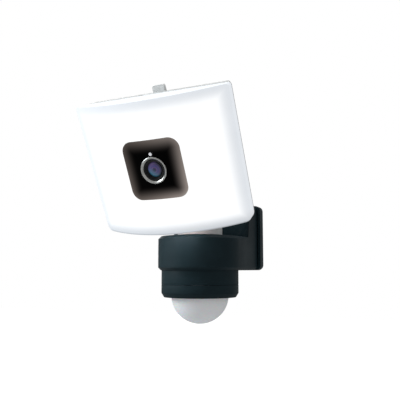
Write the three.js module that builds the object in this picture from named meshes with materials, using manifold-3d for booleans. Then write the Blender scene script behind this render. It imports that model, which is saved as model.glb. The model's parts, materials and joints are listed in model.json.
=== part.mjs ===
// Floodlight security camera on a wall base: a wide lamp head with a camera in its middle, on a neck that
// pans and tilts, over a base that carries a motion sensor with a dome lens.
// Millimetres, +Z up. The origin is the centre of the wall plate's back face. The front looks along -Y.
import * as THREE from "three";
import { mergeVertices } from "three/addons/utils/BufferGeometryUtils.js";
import Module from "manifold-3d";

const wasm = await Module();
wasm.setup();

// ---------------------------------------------------------------- driving dimensions
const gap = 0.3; // between pieces that touch
const play = 0.5; // round a shaft, a hub or a screw
const degree = Math.PI / 180;

const plate = { width: 97, height: 74, depth: 12, corner: 6, back: 3, rim: 3, tongue: 7, tongueWall: 2 };
const cableHole = { radius: 9, drop: 20 };
const grommet = { lip: 2.5, skin: 1.4, dish: 2, neck: 3 };
const wallSlot = { out: 32, up: 18, length: 12, radius: 2.3 };
const gasket = { inset: 3, width: 3, depth: 1.2 };

const base = { width: 89.4, towerDepth: 34.7, shelfDrop: 38, wall: 2.6, chamfer: 3, corner: 5 };
const turret = { radius: 24, height: 9, clearOfTower: 7, hub: 12.5, bore: 8, round: 2.5 };
const panStack = { washer: 0.8, spring: 1, springWidth: 6, nut: 3, nutRadius: 19, thread: 2 };

const sensor = { step: 3.7, collarHeight: 14.4, ringHeight: 13.1, bevelOut: 2.6, bevelUp: 4.5, wall: 6.5 };
const dome = { rim: 10.5, sink: 2.6, wall: 1.4, flange: 4, flangeHeight: 2.3, skirt: 6.4 };
const seal = { width: 2.6 };
const sensorBoard = { clear: 3.1, thick: 1.6, pegRadius: 2, pegInset: 7 };
const pyro = { radius: 4.6, height: 4.2 };

const tilt = { reach: 29.4, height: 46.2, rest: 27.4 * degree, roll: 2 * degree };
const knuckle = {
  radius: 10, width: 33.6, root: 14, rootHeight: 8, channel: 14, floor: 5, cover: 2.2, coverLap: 3, lead: 2.6,
};
const tiltBolt = { radius: 3, headRadius: 5.5, headLength: 3, washer: 0.8, washerRadius: 9 };
const lug = { radius: 11, thick: 9, pocket: 4, pocketWall: 3, capLip: 0.8 };
const wireSlot = { width: 14, height: 8, corner: 3 };

const head = {
  topWidth: 156, bottomWidth: 154, height: 128.1, below: 20, depth: 31, behind: 15, bulge: 23,
  topCorner: 3, bottomCorner: 6, draft: 7.5, rise: 1, wall: 2.6, round: 3.5,
};
const diffuser = { wall: 2.4, rim: 8, window: 0.6 };
const seam = { height: 1.4, recess: 0.9, width: 2.6 };
const led = { board: 1.6, inset: 5.5, size: 3.5, height: 0.8, columns: 7, rows: 6, margin: 12 };
const spreader = { thick: 2, inset: 7.5, post: 3.4, postInset: 18 };
const screw = { radius: 1.5, head: 2.8, headLength: 1.5, length: 9, sunk: 1.6 };

const camera = { width: 57.2, height: 56.4, corner: 10, thick: 2.6, sunk: 0.4 };
const cameraFrame = {
  inset: 1, wall: 2.4, floor: 2.6, peg: 2, pegLength: 5, slotWidth: 16, slotHeight: 4, slotDrop: 20,
};
const ring = { outer: 12.8, inner: 10.4, proud: 0.9, length: 5.4, bevel: 0.8 };
const barrel = { front: 10, back: 8.5, step: 11, mouth: 9.2, throat: 7.3, cone: 2.8, bore: 4.4 };
const glass = { radius: 7, crown: 1.8, thick: 2.4, rearRadius: 4.1, rearThick: 3 };
const cameraBoard = { size: 40, thick: 1.6 };
const indicator = { radius: 1.6, up: 15.2 };

const control = { width: 66, height: 66, thick: 1.6, left: 14, peg: 2.2, pegInset: 5, behind: 3.6 };
const speaker = { radius: 13, depth: 5, x: -38, down: 27, slot: 1.6, slots: 5, pitch: 4 };
const microphone = { radius: 3, depth: 3.2, x: 40, up: 14, hole: 0.8 };
const antenna = { width: 34, height: 9, thick: 0.8, x: 34, down: 14 };
const flap = { width: 34, depth: 10, thick: 1.7, sunk: 0.3, boss: 7, tabWidth: 12, tabHeight: 6.4 };
const card = { width: 15, thick: 2.2, height: 16, slotWidth: 12.4 };
const button = { radius: 1.9, x: 11.5, travel: 0.8 };

const board = { side: 4.1, end: 6.4, thick: 1.6, standOff: 21, peg: 2.5, pegInset: 4 };
const terminal = { width: 42, height: 15, depth: 13, up: 12, well: 3, wellDepth: 4, pitch: 13.1 };
const transformer = {
  width: 24, height: 20, depth: 14, x: -18, up: 8, coilSide: 4, coilProud: 1.5, coilEnd: 2,
};
const capacitor = { radius: 6, length: 15, x: 20, up: 8 };
const baseScrew = { radius: 1.6, head: 2.9, headLength: 1.4, length: 9, inset: 12.7 };

// ---------------------------------------------------------------- places worked out from them
const baseBottom = -plate.height / 2;
const baseTop = plate.height / 2;
const shelf = baseTop - base.shelfDrop;
const houseBack = -(plate.depth + gap);
const towerFront = houseBack - base.towerDepth;
const panY = towerFront - turret.clearOfTower - turret.radius;
const baseHalf = base.width / 2;
const boardWidth = base.width - 2 * (base.wall + board.side);
const boardHeight = plate.height - 2 * (base.wall + board.end);
const baseScrewX = baseHalf - baseScrew.inset;

const sensorRadius = baseHalf - sensor.step;
const domeRadius = sensorRadius - dome.rim;
const sensorBoardRadius = domeRadius - dome.wall - sensorBoard.clear;
const collarTop = baseBottom - gap;
const collarBottom = collarTop - sensor.collarHeight;
const ringTop = collarBottom - gap;
const ringBottom = ringTop - sensor.ringHeight;
const domeZ = ringBottom + dome.sink;
const flangeTop = domeZ + dome.skirt + dome.flangeHeight;

const armHalf = knuckle.width / 2;
const lugInner = armHalf + tiltBolt.washer + 2 * gap;
const lugOuter = lugInner + lug.thick;

const headBack = -head.behind;
const planeY = headBack - head.depth;
const headBottom = -head.below;
const headTop = headBottom + head.height;
const headMiddle = (headBottom + headTop) / 2;
const faceRadius = ((head.topWidth / 2) ** 2 + head.bulge ** 2) / (2 * head.bulge);
const faceCrown = planeY - head.bulge;
const faceAxisY = faceCrown + faceRadius;
const rimBack = planeY + diffuser.rim;
const gasketFront = rimBack + gap;
const houseFront = gasketFront + seam.height + gap;
const ledFront = houseFront + led.height + gap;
const ledBack = ledFront + led.board;
const spreaderFront = ledBack + gap;
const spreaderBack = spreaderFront + spreader.thick;
const floorY = headBack - head.wall;
const controlFront = spreaderBack + control.behind;
const frameBack = spreaderFront - gap;
const boardFront = frameBack - cameraFrame.floor - cameraFrame.pegLength - gap;
const windowCrown = faceCrown + camera.sunk;
const cardY = controlFront + control.thick + gap + card.thick / 2;
const flapRear = cardY + flap.depth / 2;
const flapLow = headTop - head.rise - flap.sunk - flap.thick;

// ---------------------------------------------------------------- solids
function solid(geometry) {
  const loose = geometry.index ? geometry.toNonIndexed() : geometry;
  const bare = new THREE.BufferGeometry().setAttribute("position", loose.getAttribute("position"));
  const merged = mergeVertices(bare, 1e-4);
  const vertProperties = merged.attributes.position.array;
  const triVerts = new Uint32Array(merged.index.array);
  return new wasm.Manifold(new wasm.Mesh({ numProp: 3, vertProperties, triVerts }));
}

function geometryOf(made) {
  const { vertProperties, triVerts } = made.getMesh();
  const geometry = new THREE.BufferGeometry();
  geometry.setAttribute("position", new THREE.BufferAttribute(vertProperties, 3));
  geometry.setIndex(new THREE.BufferAttribute(triVerts, 1));
  return geometry;
}

const join = (first, ...others) => others.reduce((sum, next) => sum.add(next), first);
const cut = (first, ...tools) => tools.reduce((rest, tool) => rest.subtract(tool), first);

// A box between two corners.
function block(low, high) {
  const size = high.map((value, i) => value - low[i]);
  const geometry = new THREE.BoxGeometry(...size);
  return solid(geometry.translate(...low.map((value, i) => value + size[i] / 2)));
}

// An outline in x and z, pushed from y = back towards the front by depth.
function forward(shape, back, depth, steps = 4) {
  const geometry = new THREE.ExtrudeGeometry(shape, { depth, bevelEnabled: false, curveSegments: steps });
  return solid(geometry.rotateX(Math.PI / 2).translate(0, back, 0));
}

// An outline in x and y, raised from z = low by height, with an optional chamfer round both ends.
function upward(shape, low, height, chamfer = 0, steps = 5) {
  const geometry = new THREE.ExtrudeGeometry(shape, {
    depth: height - 2 * chamfer, curveSegments: steps, bevelEnabled: chamfer > 0,
    bevelThickness: chamfer, bevelSize: chamfer, bevelOffset: -chamfer, bevelSegments: 1,
  });
  return solid(geometry.translate(0, 0, low + chamfer));
}

// An outline in y and z, pushed from x = left to the right by width.
function sideways(shape, left, width, steps = 8) {
  const settings = { depth: width, bevelEnabled: false, curveSegments: steps };
  const geometry = new THREE.ExtrudeGeometry(shape, settings);
  const turn = new THREE.Matrix4().makeBasis(
    new THREE.Vector3(0, 1, 0), new THREE.Vector3(0, 0, 1), new THREE.Vector3(1, 0, 0));
  return solid(geometry.applyMatrix4(turn).translate(left, 0, 0));
}

const profile = (points) => points.map(([r, along]) => new THREE.Vector2(r, along));

// Turned about a vertical axis: points are [radius, z].
function turned(points, y = 0, steps = 40, x = 0) {
  return solid(new THREE.LatheGeometry(profile(points), steps).rotateX(Math.PI / 2).translate(x, y, 0));
}

// Turned about a line along y: points are [radius, distance forward], so they end at the front.
function turnedForward(points, x, z, steps = 32) {
  return solid(new THREE.LatheGeometry(profile(points), steps).rotateX(Math.PI).translate(x, 0, z));
}

function rodZ(radius, low, high, x, y, steps = 20) {
  const geometry = new THREE.CylinderGeometry(radius, radius, high - low, steps);
  return solid(geometry.rotateX(Math.PI / 2).translate(x, y, (low + high) / 2));
}

function rodY(radius, front, back, x, z, steps = 20) {
  const geometry = new THREE.CylinderGeometry(radius, radius, back - front, steps);
  return solid(geometry.translate(x, (front + back) / 2, z));
}

function rodX(radius, left, right, y, z, steps = 24) {
  const geometry = new THREE.CylinderGeometry(radius, radius, right - left, steps);
  return solid(geometry.rotateZ(Math.PI / 2).translate((left + right) / 2, y, z));
}

const tube = (outer, inner, low, high, y = 0, steps = 24) =>
  turned([[inner, low], [outer, low], [outer, high], [inner, high], [inner, low]], y, steps);

// A closed outline with each corner rounded by its own radius. Corners are [a, b, radius].
function outline(corners) {
  const shape = new THREE.Shape();
  corners.forEach(([a, b, radius], i) => {
    const here = new THREE.Vector2(a, b);
    const before = new THREE.Vector2(...corners.at(i - 1).slice(0, 2));
    const after = new THREE.Vector2(...corners[(i + 1) % corners.length].slice(0, 2));
    const start = here.clone().add(before.sub(here).setLength(radius));
    const end = here.clone().add(after.sub(here).setLength(radius));
    if (i === 0) shape.moveTo(start.x, start.y);
    else shape.lineTo(start.x, start.y);
    if (radius > 0) shape.quadraticCurveTo(a, b, end.x, end.y);
  });
  shape.closePath();
  return shape;
}

function rounded(width, height, corner, x = 0, z = 0) {
  const [w, h] = [width / 2, height / 2];
  return outline([
    [x - w, z - h, corner], [x + w, z - h, corner], [x + w, z + h, corner], [x - w, z + h, corner]]);
}

// A solid of the head that stays level with the hinge.
const levelled = (made) => solid(geometryOf(made).rotateY(tilt.roll));

// ---------------------------------------------------------------- assembly
const part = new THREE.Group();
const neckGroup = new THREE.Group();
neckGroup.position.set(0, panY, 0);
part.add(neckGroup);
const headGroup = new THREE.Group();
headGroup.position.set(0, -tilt.reach, tilt.height);
headGroup.rotation.set(tilt.rest, -tilt.roll, 0); // the head's shell is set a little askew on its hinge
neckGroup.add(headGroup);

const looks = {
  anthracite: { color: 0x27343b, roughness: 0.5 },
  groove: { color: 0x1a252a, roughness: 0.6 },
  whitePlastic: { color: 0xe9ebec, roughness: 0.45 },
  opal: { color: 0xf7f8f7, roughness: 0.35 },
  domeWhite: { color: 0xdcdfe2, roughness: 0.4 },
  blackGloss: { color: 0x0b0a0a, roughness: 0.08 },
  blackPlastic: { color: 0x151515, roughness: 0.55 },
  rubber: { color: 0x2a2d2f, roughness: 0.85 },
  silver: { color: 0xc2c6ca, roughness: 0.2, metalness: 1 },
  steel: { color: 0x9a9da0, roughness: 0.35, metalness: 1 },
  aluminium: { color: 0xb9bcbf, roughness: 0.4, metalness: 1 },
  boardWhite: { color: 0xf1f2ee, roughness: 0.5 },
  boardGreen: { color: 0x1f5a3a, roughness: 0.5 },
  lensGlass: { color: 0x2a3466, roughness: 0.03 },
  copper: { color: 0xb87333, roughness: 0.4, metalness: 1 },
  ferrite: { color: 0x4a4036, roughness: 0.7 },
};

function piece(group, name, made, look) {
  const mesh = new THREE.Mesh(geometryOf(made), new THREE.MeshStandardMaterial(looks[look]));
  mesh.name = name;
  group.add(mesh);
}

// ---------------------------------------------------------------- wall plate and what it carries
function plateOutline(inset) {
  return rounded(plate.width - 2 * inset, plate.height - 2 * inset, Math.max(plate.corner - inset, 1));
}

function wallPlate() {
  const shell = forward(plateOutline(0), 0, plate.depth, 3);
  const hollow = forward(plateOutline(plate.rim), -plate.back, plate.depth, 3);
  const tongueOut = base.width - 2 * (base.wall + gap);
  const tongueHigh = plate.height - 2 * (base.wall + gap);
  const tongueCorner = 2 * base.chamfer + 1;
  const tongueShape = (inset) => rounded(tongueOut - 2 * inset, tongueHigh - 2 * inset, tongueCorner - inset);
  const reach = plate.depth + plate.tongue - plate.back;
  const tongue = cut(
    forward(tongueShape(0), -plate.back, reach, 2),
    forward(tongueShape(plate.tongueWall), -plate.back + 1, reach + 2, 2),
  );
  const bossLow = -tongueHigh / 2;
  const bosses = [-1, 1].map((side) => block(
    [side * baseScrewX - 4, -plate.depth - plate.tongue, bossLow],
    [side * baseScrewX + 4, -plate.back, bossLow + baseScrew.length]));
  const pegs = boardPegs().map(([x, z]) => rodY(board.peg, -board.standOff, -plate.back + 1, x, z, 12));
  const groove = cut(
    forward(plateOutline(gasket.inset), 1, 1 + gasket.depth, 3),
    forward(plateOutline(gasket.inset + gasket.width), 2, 3 + gasket.depth, 3));
  const slots = [-1, 1].map((side) => forward(
    rounded(wallSlot.length, 2 * wallSlot.radius, wallSlot.radius, side * wallSlot.out, wallSlot.up),
    1, plate.back + 2, 3));
  const pilots = [-1, 1].map((side) => rodZ(
    baseScrew.radius + play, baseBottom, bossLow + baseScrew.length - 1, side * baseScrewX, screwY(), 12));
  return cut(
    join(cut(shell, hollow), tongue, ...bosses, ...pegs),
    groove, ...slots, ...pilots,
    rodY(cableHole.radius, -plate.back - 1, 1, 0, -cableHole.drop, 20));
}

const screwY = () => houseBack - plate.tongue / 2;

function boardPegs() {
  const x = boardWidth / 2 - board.pegInset;
  const z = boardHeight / 2 - board.pegInset;
  return [[-x, -z], [x, -z], [-x, z], [x, z]];
}

function wallGasket() {
  return cut(
    forward(plateOutline(gasket.inset + gap), 0, gasket.depth - gap, 3),
    forward(plateOutline(gasket.inset + gasket.width - gap), 1, gasket.depth + 2, 3));
}

// A plug with a thin middle that the mains lead is pushed through.
function cableGrommet() {
  const lip = cableHole.radius + grommet.lip;
  const bore = cableHole.radius - gap;
  const front = plate.back + gap;
  const skinBack = 1.2;
  const skinFront = skinBack + grommet.skin;
  const wide = bore - grommet.neck + gap;
  const narrow = wide - grommet.dish;
  return turnedForward([
    [0, skinBack], [narrow, skinBack], [wide, gap], [bore, gap], [bore, front], [lip, front],
    [lip, front + grommet.dish], [wide, front + grommet.dish], [narrow, skinFront], [0, skinFront],
  ], 0, -cableHole.drop, 20);
}

function baseScrewSolid(side) {
  const { radius, head: headRadius, headLength, length } = baseScrew;
  const low = baseBottom + 0.1;
  const under = baseBottom + headLength;
  const tip = baseBottom + length;
  const points = [[0, low], [headRadius, low], [headRadius, under], [radius, under], [radius, tip], [0, tip]];
  return turned(points, screwY(), 14, side * baseScrewX);
}

// ---------------------------------------------------------------- base housing and its electronics
function basePlan(inset) {
  const half = baseHalf - inset;
  const shape = new THREE.Shape();
  shape.moveTo(half, 0);
  shape.lineTo(half, panY);
  shape.absarc(0, panY, half, 0, -Math.PI, true);
  shape.lineTo(-half, 0);
  shape.closePath();
  return shape;
}

function towerPlan(inset) {
  const half = baseHalf - inset;
  const front = towerFront + inset;
  const corner = base.corner;
  return outline([[-half, front, corner], [half, front, corner], [half, 0, 0], [-half, 0, 0]]);
}

function baseBulk(inset) {
  const chamfer = base.chamfer;
  const low = upward(basePlan(inset), baseBottom + inset, shelf - baseBottom - 2 * inset, chamfer, 10);
  const towerLow = baseBottom + base.chamfer + inset;
  const tower = upward(towerPlan(inset), towerLow, baseTop - towerLow - inset, chamfer);
  const towerFoot = upward(towerPlan(inset), towerLow, (baseTop - baseBottom) / 2, 0);
  return join(low, tower, towerFoot);
}

function baseHousing() {
  const behind = block([-baseHalf - 1, houseBack, baseBottom - 1], [baseHalf + 1, 1, baseTop + 1]);
  const [under, over] = [baseBottom - 1, baseBottom + base.wall + 1];
  const sensorHole = rodZ(sensorRadius - sensor.wall + gap, under, over, 0, panY, 32);
  const hubHole = rodZ(turret.hub + play, shelf - base.wall - 1, shelf + 1, 0, panY, 28);
  const screwHoles = [-1, 1].flatMap((side) => [
    rodZ(baseScrew.radius + play, under, over, side * baseScrewX, screwY(), 14),
    rodZ(baseScrew.head + gap, under, baseBottom + baseScrew.headLength + gap, side * baseScrewX, screwY(), 14),
  ]);
  return cut(baseBulk(0), baseBulk(base.wall), behind, sensorHole, hubHole, ...screwHoles);
}

function powerBoard() {
  const front = -board.standOff - gap - board.thick;
  return forward(rounded(boardWidth, boardHeight, 2), front + board.thick, board.thick, 2);
}

const boardFace = -board.standOff - gap - board.thick - gap;

function transformerSolid() {
  const { width, height, depth, x, up, coilSide, coilProud, coilEnd } = transformer;
  const [w, h] = [width / 2, height / 2];
  const core = block([x - w, boardFace - depth, up - h], [x + w, boardFace, up + h]);
  const coil = block(
    [x - w + coilSide, boardFace - depth - coilProud, up - h - coilEnd],
    [x + w - coilSide, boardFace - coilEnd, up + h + coilEnd]);
  return join(core, coil);
}

function terminalBlock() {
  const { width, height, depth, up, well, wellDepth, pitch } = terminal;
  const back = -plate.back - gap;
  const body = block([-width / 2, back - depth, up - height / 2], [width / 2, back, up + height / 2]);
  const front = back - depth;
  const wells = [-1, 0, 1].map((i) => rodY(well, front - 1, front + wellDepth, i * pitch, up, 10));
  return cut(body, ...wells);
}

// ---------------------------------------------------------------- motion sensor under the base
function sensorCollar() {
  const inner = sensorRadius - sensor.wall - 3;
  const spigot = sensorRadius - sensor.wall;
  const top = baseBottom + base.wall + 1.5;
  const shell = turned(
    [[inner, collarBottom], [sensorRadius, collarBottom], [sensorRadius, collarTop], [spigot, collarTop],
      [spigot, top], [8, top], [8, top - 2.5], [inner, top - 2.5], [inner, collarBottom]], panY, 28);
  const pegBottom = boardTop() + gap;
  const pegAt = sensorBoardRadius - sensorBoard.pegInset;
  const pegs = [0, 1, 2].map((i) => {
    const angle = (i * 2 * Math.PI) / 3;
    const x = pegAt * Math.sin(angle);
    return rodZ(sensorBoard.pegRadius, pegBottom, top - 1, x, panY + pegAt * Math.cos(angle), 10);
  });
  return join(shell, ...pegs);
}

const boardTop = () => flangeTop - gap;

function sensorRing() {
  const pocket = domeRadius + dome.flange + gap;
  const lip = flangeTop - dome.flangeHeight - gap;
  const bottom = sensorRadius - sensor.bevelOut;
  return turned(
    [[domeRadius + play, ringBottom], [bottom, ringBottom], [sensorRadius, ringBottom + sensor.bevelUp],
      [sensorRadius, ringTop], [pocket, ringTop], [pocket, lip], [domeRadius + play, lip],
      [domeRadius + play, ringBottom]], panY, 28);
}

function sensorDome() {
  const points = [];
  const inner = domeRadius - dome.wall;
  const steps = 6;
  for (let i = 0; i <= steps; i++) {
    const angle = (i / steps) * Math.PI / 2;
    points.push([domeRadius * Math.sin(angle), domeZ - domeRadius * Math.cos(angle)]);
  }
  const rim = flangeTop - dome.flangeHeight;
  points.push([domeRadius, rim], [domeRadius + dome.flange, rim], [domeRadius + dome.flange, flangeTop]);
  points.push([inner, flangeTop]);
  for (let i = steps; i >= 0; i--) {
    const angle = (i / steps) * Math.PI / 2;
    points.push([inner * Math.sin(angle), domeZ - inner * Math.cos(angle)]);
  }
  return turned(points, panY, 24);
}

function sensorSeal() {
  const outer = domeRadius + dome.flange;
  return tube(outer, outer - seal.width, flangeTop + gap, collarBottom - gap, panY);
}

// ---------------------------------------------------------------- neck: turret, arm and tilt hinge
function neckArm() {
  const low = shelf + panStack.washer + 2 * gap;
  const top = low + turret.height;
  const { radius, hub, bore, round } = turret;
  const hubBottom = shelf - base.wall - panStack.spring - panStack.nut - panStack.thread;
  const turretBody = turned(
    [[bore, hubBottom], [hub, hubBottom], [hub, low], [radius, low], [radius, top - round],
      [radius - round, top], [bore, top], [bore, hubBottom]], 0, 24);
  const arm = sideways(armProfile(0), -armHalf, knuckle.width);
  const eye = rodX(knuckle.radius, -armHalf, armHalf, -tilt.reach, tilt.height, 24);
  const channel = sideways(armProfile(knuckle.floor, knuckle.radius), -knuckle.channel / 2, knuckle.channel);
  const recess = sideways(coverProfile(0), -coverHalf() - gap, 2 * (coverHalf() + gap));
  const boreUp = rodZ(bore, hubBottom - 1, top + knuckle.rootHeight, 0, 0, 24);
  return cut(
    join(turretBody, arm, eye), channel, recess, boreUp,
    rodX(tiltBolt.radius + play, -armHalf - 1, armHalf + 1, -tilt.reach, tilt.height, 20));
}

const coverHalf = () => knuckle.channel / 2 + knuckle.coverLap;
const armThick = knuckle.radius - 0.4;
const armSole = () => turretTop() - 2; // a little under the turret's top, so that the two are one body
const turretTop = () => shelf + panStack.washer + 2 * gap + turret.height;

// The arm seen from the side, in y and z: from the turret's top up to the tilt axis. floor lifts the
// front edge for the cable channel, and stop ends it short of the knuckle.
function armLine() {
  const direction = new THREE.Vector2(-tilt.reach, tilt.height - turretTop()).normalize();
  return { direction, across: new THREE.Vector2(direction.y, -direction.x) };
}

function armProfile(floor, stop = 0) {
  const { direction, across } = armLine();
  const eye = new THREE.Vector2(-tilt.reach, tilt.height).addScaledVector(direction, -stop);
  const past = floor > 0 ? 2 : 0; // the channel runs out through the rear edge
  const back = eye.clone().addScaledVector(across, armThick + past);
  const front = eye.clone().addScaledVector(across, -armThick + floor);
  const sole = armSole() + 2 * past;
  const heel = knuckle.root + past;
  return outline([
    [front.x, front.y, 0], [-knuckle.root + floor, sole, 0], [heel, sole, 0],
    [heel, armSole() + knuckle.rootHeight, 0], [back.x, back.y, 0]]);
}

// The cover closes the channel along the arm's rear edge.
function coverProfile(inset) {
  const { direction, across } = armLine();
  const eye = new THREE.Vector2(-tilt.reach, tilt.height);
  const stop = knuckle.radius / 2 + inset;
  const top = eye.clone().addScaledVector(direction, -stop).addScaledVector(across, armThick);
  const root = new THREE.Vector2(knuckle.root, armSole() + knuckle.rootHeight);
  const along = top.clone().sub(root).normalize();
  const inward = new THREE.Vector2(along.y, -along.x).negate();
  if (inward.dot(across) > 0) inward.negate();
  const low = root.clone().addScaledVector(along, 1 + inset);
  const depth = knuckle.cover - inset;
  const out = inset > 0 ? 0 : 2;
  const corner = (point, distance) => point.clone().addScaledVector(inward, distance);
  return outline([corner(top, depth), corner(low, depth), corner(low, -out), corner(top, -out)]
    .map((point) => [point.x, point.y, 0]));
}

function neckWires() {
  const { direction, across } = armLine();
  const eye = new THREE.Vector2(-tilt.reach, tilt.height);
  const end = eye.clone().addScaledVector(direction, -knuckle.radius - 2 * knuckle.lead);
  const path = new THREE.CatmullRomCurve3([
    new THREE.Vector3(0, 0, shelf - base.wall - 2 * knuckle.lead),
    new THREE.Vector3(0, 0, armSole()),
    new THREE.Vector3(0, (end.x * 0.4) + across.x, (turretTop() + end.y) / 2 + across.y),
    new THREE.Vector3(0, end.x + across.x, end.y + across.y),
  ]);
  const section = new THREE.Shape().absarc(0, 0, knuckle.lead, 0, Math.PI * 2);
  return solid(new THREE.ExtrudeGeometry(section, { steps: 12, extrudePath: path, curveSegments: 4 }));
}

function tiltBoltSolid() {
  const [y, z] = [-tilt.reach, tilt.height];
  const headIn = lugOuter - lug.pocket + gap;
  return join(
    rodX(tiltBolt.radius, -headIn - tiltBolt.headLength, headIn + 0.5, y, z),
    rodX(tiltBolt.headRadius, headIn, headIn + tiltBolt.headLength, y, z, 6));
}

function tiltNut() {
  const [y, z] = [-tilt.reach, tilt.height];
  const inner = lugOuter - lug.pocket + gap;
  return cut(
    rodX(tiltBolt.headRadius, -inner - tiltBolt.headLength, -inner, y, z, 6),
    rodX(tiltBolt.radius + gap, -inner - tiltBolt.headLength - 1, -inner + 1, y, z, 20));
}

function tiltWasher(side) {
  const [y, z] = [-tilt.reach, tilt.height];
  const inner = armHalf + gap;
  const outer = inner + tiltBolt.washer;
  const [left, right] = side > 0 ? [inner, outer] : [-outer, -inner];
  return cut(
    rodX(tiltBolt.washerRadius, left, right, y, z),
    rodX(tiltBolt.radius + play, left - 1, right + 1, y, z));
}

// ---------------------------------------------------------------- head shells
function faceOutline(inset) {
  const [low, high] = [headBottom + inset, headTop - inset];
  const [bottom, top] = [head.bottomWidth / 2 - inset, head.topWidth / 2 - inset];
  const lowCorner = Math.max(head.bottomCorner - inset, 1);
  const highCorner = Math.max(head.topCorner - inset, 1);
  return outline([
    [-bottom, low, lowCorner], [bottom, low, lowCorner], [top, high, highCorner], [-top, high, highCorner]]);
}

// Everything behind the curved face, as far as `behind` sets the cut.
function behindFace(radius, back) {
  const half = head.topWidth / 2 + 2;
  const angle = Math.asin(half / radius);
  const shape = new THREE.Shape();
  shape.absarc(0, faceAxisY, radius, -Math.PI / 2 - angle, -Math.PI / 2 + angle, false);
  shape.lineTo(half, back);
  shape.lineTo(-half, back);
  shape.closePath();
  return upward(shape, headBottom - 2, head.height + 4, 0, 9);
}

function diffuserShell() {
  const reach = head.bulge + diffuser.rim + 2;
  const outer = forward(faceOutline(0), rimBack, reach).intersect(behindFace(faceRadius, rimBack));
  const inside = forward(faceOutline(diffuser.wall), rimBack + 1, reach + 1)
    .intersect(behindFace(faceRadius - diffuser.wall, rimBack + 1));
  const opening = rounded(
    camera.width + 2 * diffuser.window, camera.height + 2 * diffuser.window, camera.corner + diffuser.window,
    0, headMiddle);
  return cut(outer, inside, forward(opening, rimBack + 2, reach + 4, 6));
}

// The head's body between two depths, drafted in at the sides and under it towards the back.
function headBulk(inset, front, back) {
  const edge = seam.recess / 2 + inset;
  const share = (y) => (y - houseFront) / (headBack - houseFront); // 0 at the seam, 1 at the back
  const side = (y) => head.topWidth / 2 - edge - head.draft * share(y);
  const foot = (y) => headBottom + edge + (head.draft / 2) * share(y);
  const crown = (y) => headTop - edge - head.rise * share(y);
  const round = Math.max(head.round - inset, 0.8);
  const plan = outline([
    [-side(front), front, 0], [side(front), front, 0],
    [side(back), back, round], [-side(back), back, round]]);
  const flank = outline([
    [front, foot(front), 0], [back, foot(back), round],
    [back, crown(back), round / 2], [front, crown(front), 0]]);
  const high = head.height + 4;
  return upward(plan, headBottom - 2, high, 0, 3)
    .intersect(sideways(flank, -head.topWidth / 2 - 2, head.topWidth + 4, 3))
    .intersect(forward(faceOutline(edge), back + 1, back - front + 2));
}

function headPosts() {
  const x = head.bottomWidth / 2 - spreader.postInset;
  return [[-x, headBottom + spreader.postInset], [x, headBottom + spreader.postInset],
    [-x, headTop - spreader.postInset], [x, headTop - spreader.postInset]];
}

function lugSolid(side) {
  const shape = outline([
    [floorY, -lug.radius, 0], [0, -lug.radius, 0], [0, lug.radius, 0], [floorY, lug.radius + 3, 0]]);
  const left = side > 0 ? lugInner : -lugOuter;
  return join(sideways(shape, left, lug.thick), rodX(lug.radius, left, left + lug.thick, 0, 0, 24));
}

function headHousing() {
  const shell = cut(headBulk(0, houseFront, headBack), headBulk(head.wall, houseFront - 1, floorY));
  const bossTop = headTop - 1.5;
  const boss = block(
    [-flap.width / 2 - 2, flapRear - flap.depth - 1, bossTop - flap.boss],
    [flap.width / 2 + 2, floorY, bossTop]);
  const flapPocket = block(
    [-flap.width / 2 - gap, flapRear - flap.depth - gap, flapLow - gap],
    [flap.width / 2 + gap, flapRear + gap, headTop + 1]);
  const tabNotch = block(
    [-flap.tabWidth / 2 - gap, flapRear - 1, flapLow - gap],
    [flap.tabWidth / 2 + gap, headBack + 1, headTop + 1]);
  const cardSlot = block(
    [-card.slotWidth / 2, cardY - card.thick / 2, bossTop - flap.boss - 1],
    [card.slotWidth / 2, cardY + card.thick / 2, headTop + 1]);
  const buttonHole = rodZ(button.radius + gap, bossTop - flap.boss - 1, headTop + 1, button.x, cardY, 16);
  const screwHoles = headPosts().flatMap(([x, z]) => [
    rodY(screw.radius + play, floorY - 2, headBack + 1, x, z, 14),
    rodY(screw.head + gap, headBack - screw.sunk, headBack + 1, x, z, 16)]);
  const soundSlots = Array.from({ length: speaker.slots }, (_, i) => {
    const z = speakerZ() + (i - (speaker.slots - 1) / 2) * speaker.pitch;
    const half = Math.sqrt((speaker.radius - 2) ** 2 - (z - speakerZ()) ** 2);
    const shape = rounded(2 * half, speaker.slot, speaker.slot / 2, speaker.x, z);
    return forward(shape, headBack + 1, head.wall + 3, 2);
  });
  const wireShape = rounded(wireSlot.width, wireSlot.height, wireSlot.corner, 0, lug.radius + wireSlot.height);
  const wireHole = forward(wireShape, headBack + 1, head.wall + 3, 3);
  const soundHole = rodZ(microphone.hole, headBottom - 1, headBottom + 8, microphone.x, microphoneY(), 10);
  const lugs = [-1, 1].map((side) => {
    const [left, right] = side > 0 ? [lugInner - 1, lugOuter + 1] : [-lugOuter - 1, 1 - lugInner];
    const [from, to] = side > 0 ? [lugOuter - lug.pocket, right] : [left, lug.pocket - lugOuter];
    return levelled(cut(
      lugSolid(side),
      rodX(tiltBolt.radius + play, left, right, 0, 0),
      rodX(lug.radius - lug.pocketWall, from, to, 0, 0)));
  });
  return cut(
    join(shell, boss, ...lugs), flapPocket, tabNotch, cardSlot, buttonHole,
    ...screwHoles, ...soundSlots, wireHole, soundHole);
}

const speakerZ = () => headTop - speaker.down;
const microphoneY = () => spreaderBack + gap + 4;

function tiltCap(side) {
  const inner = lugOuter - lug.pocket + tiltBolt.headLength + 2 * gap;
  const outer = lugOuter + lug.capLip;
  const radius = lug.radius - lug.pocketWall - gap;
  return levelled(rodX(radius, side > 0 ? inner : -outer, side > 0 ? outer : -inner, 0, 0, 28));
}

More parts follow.
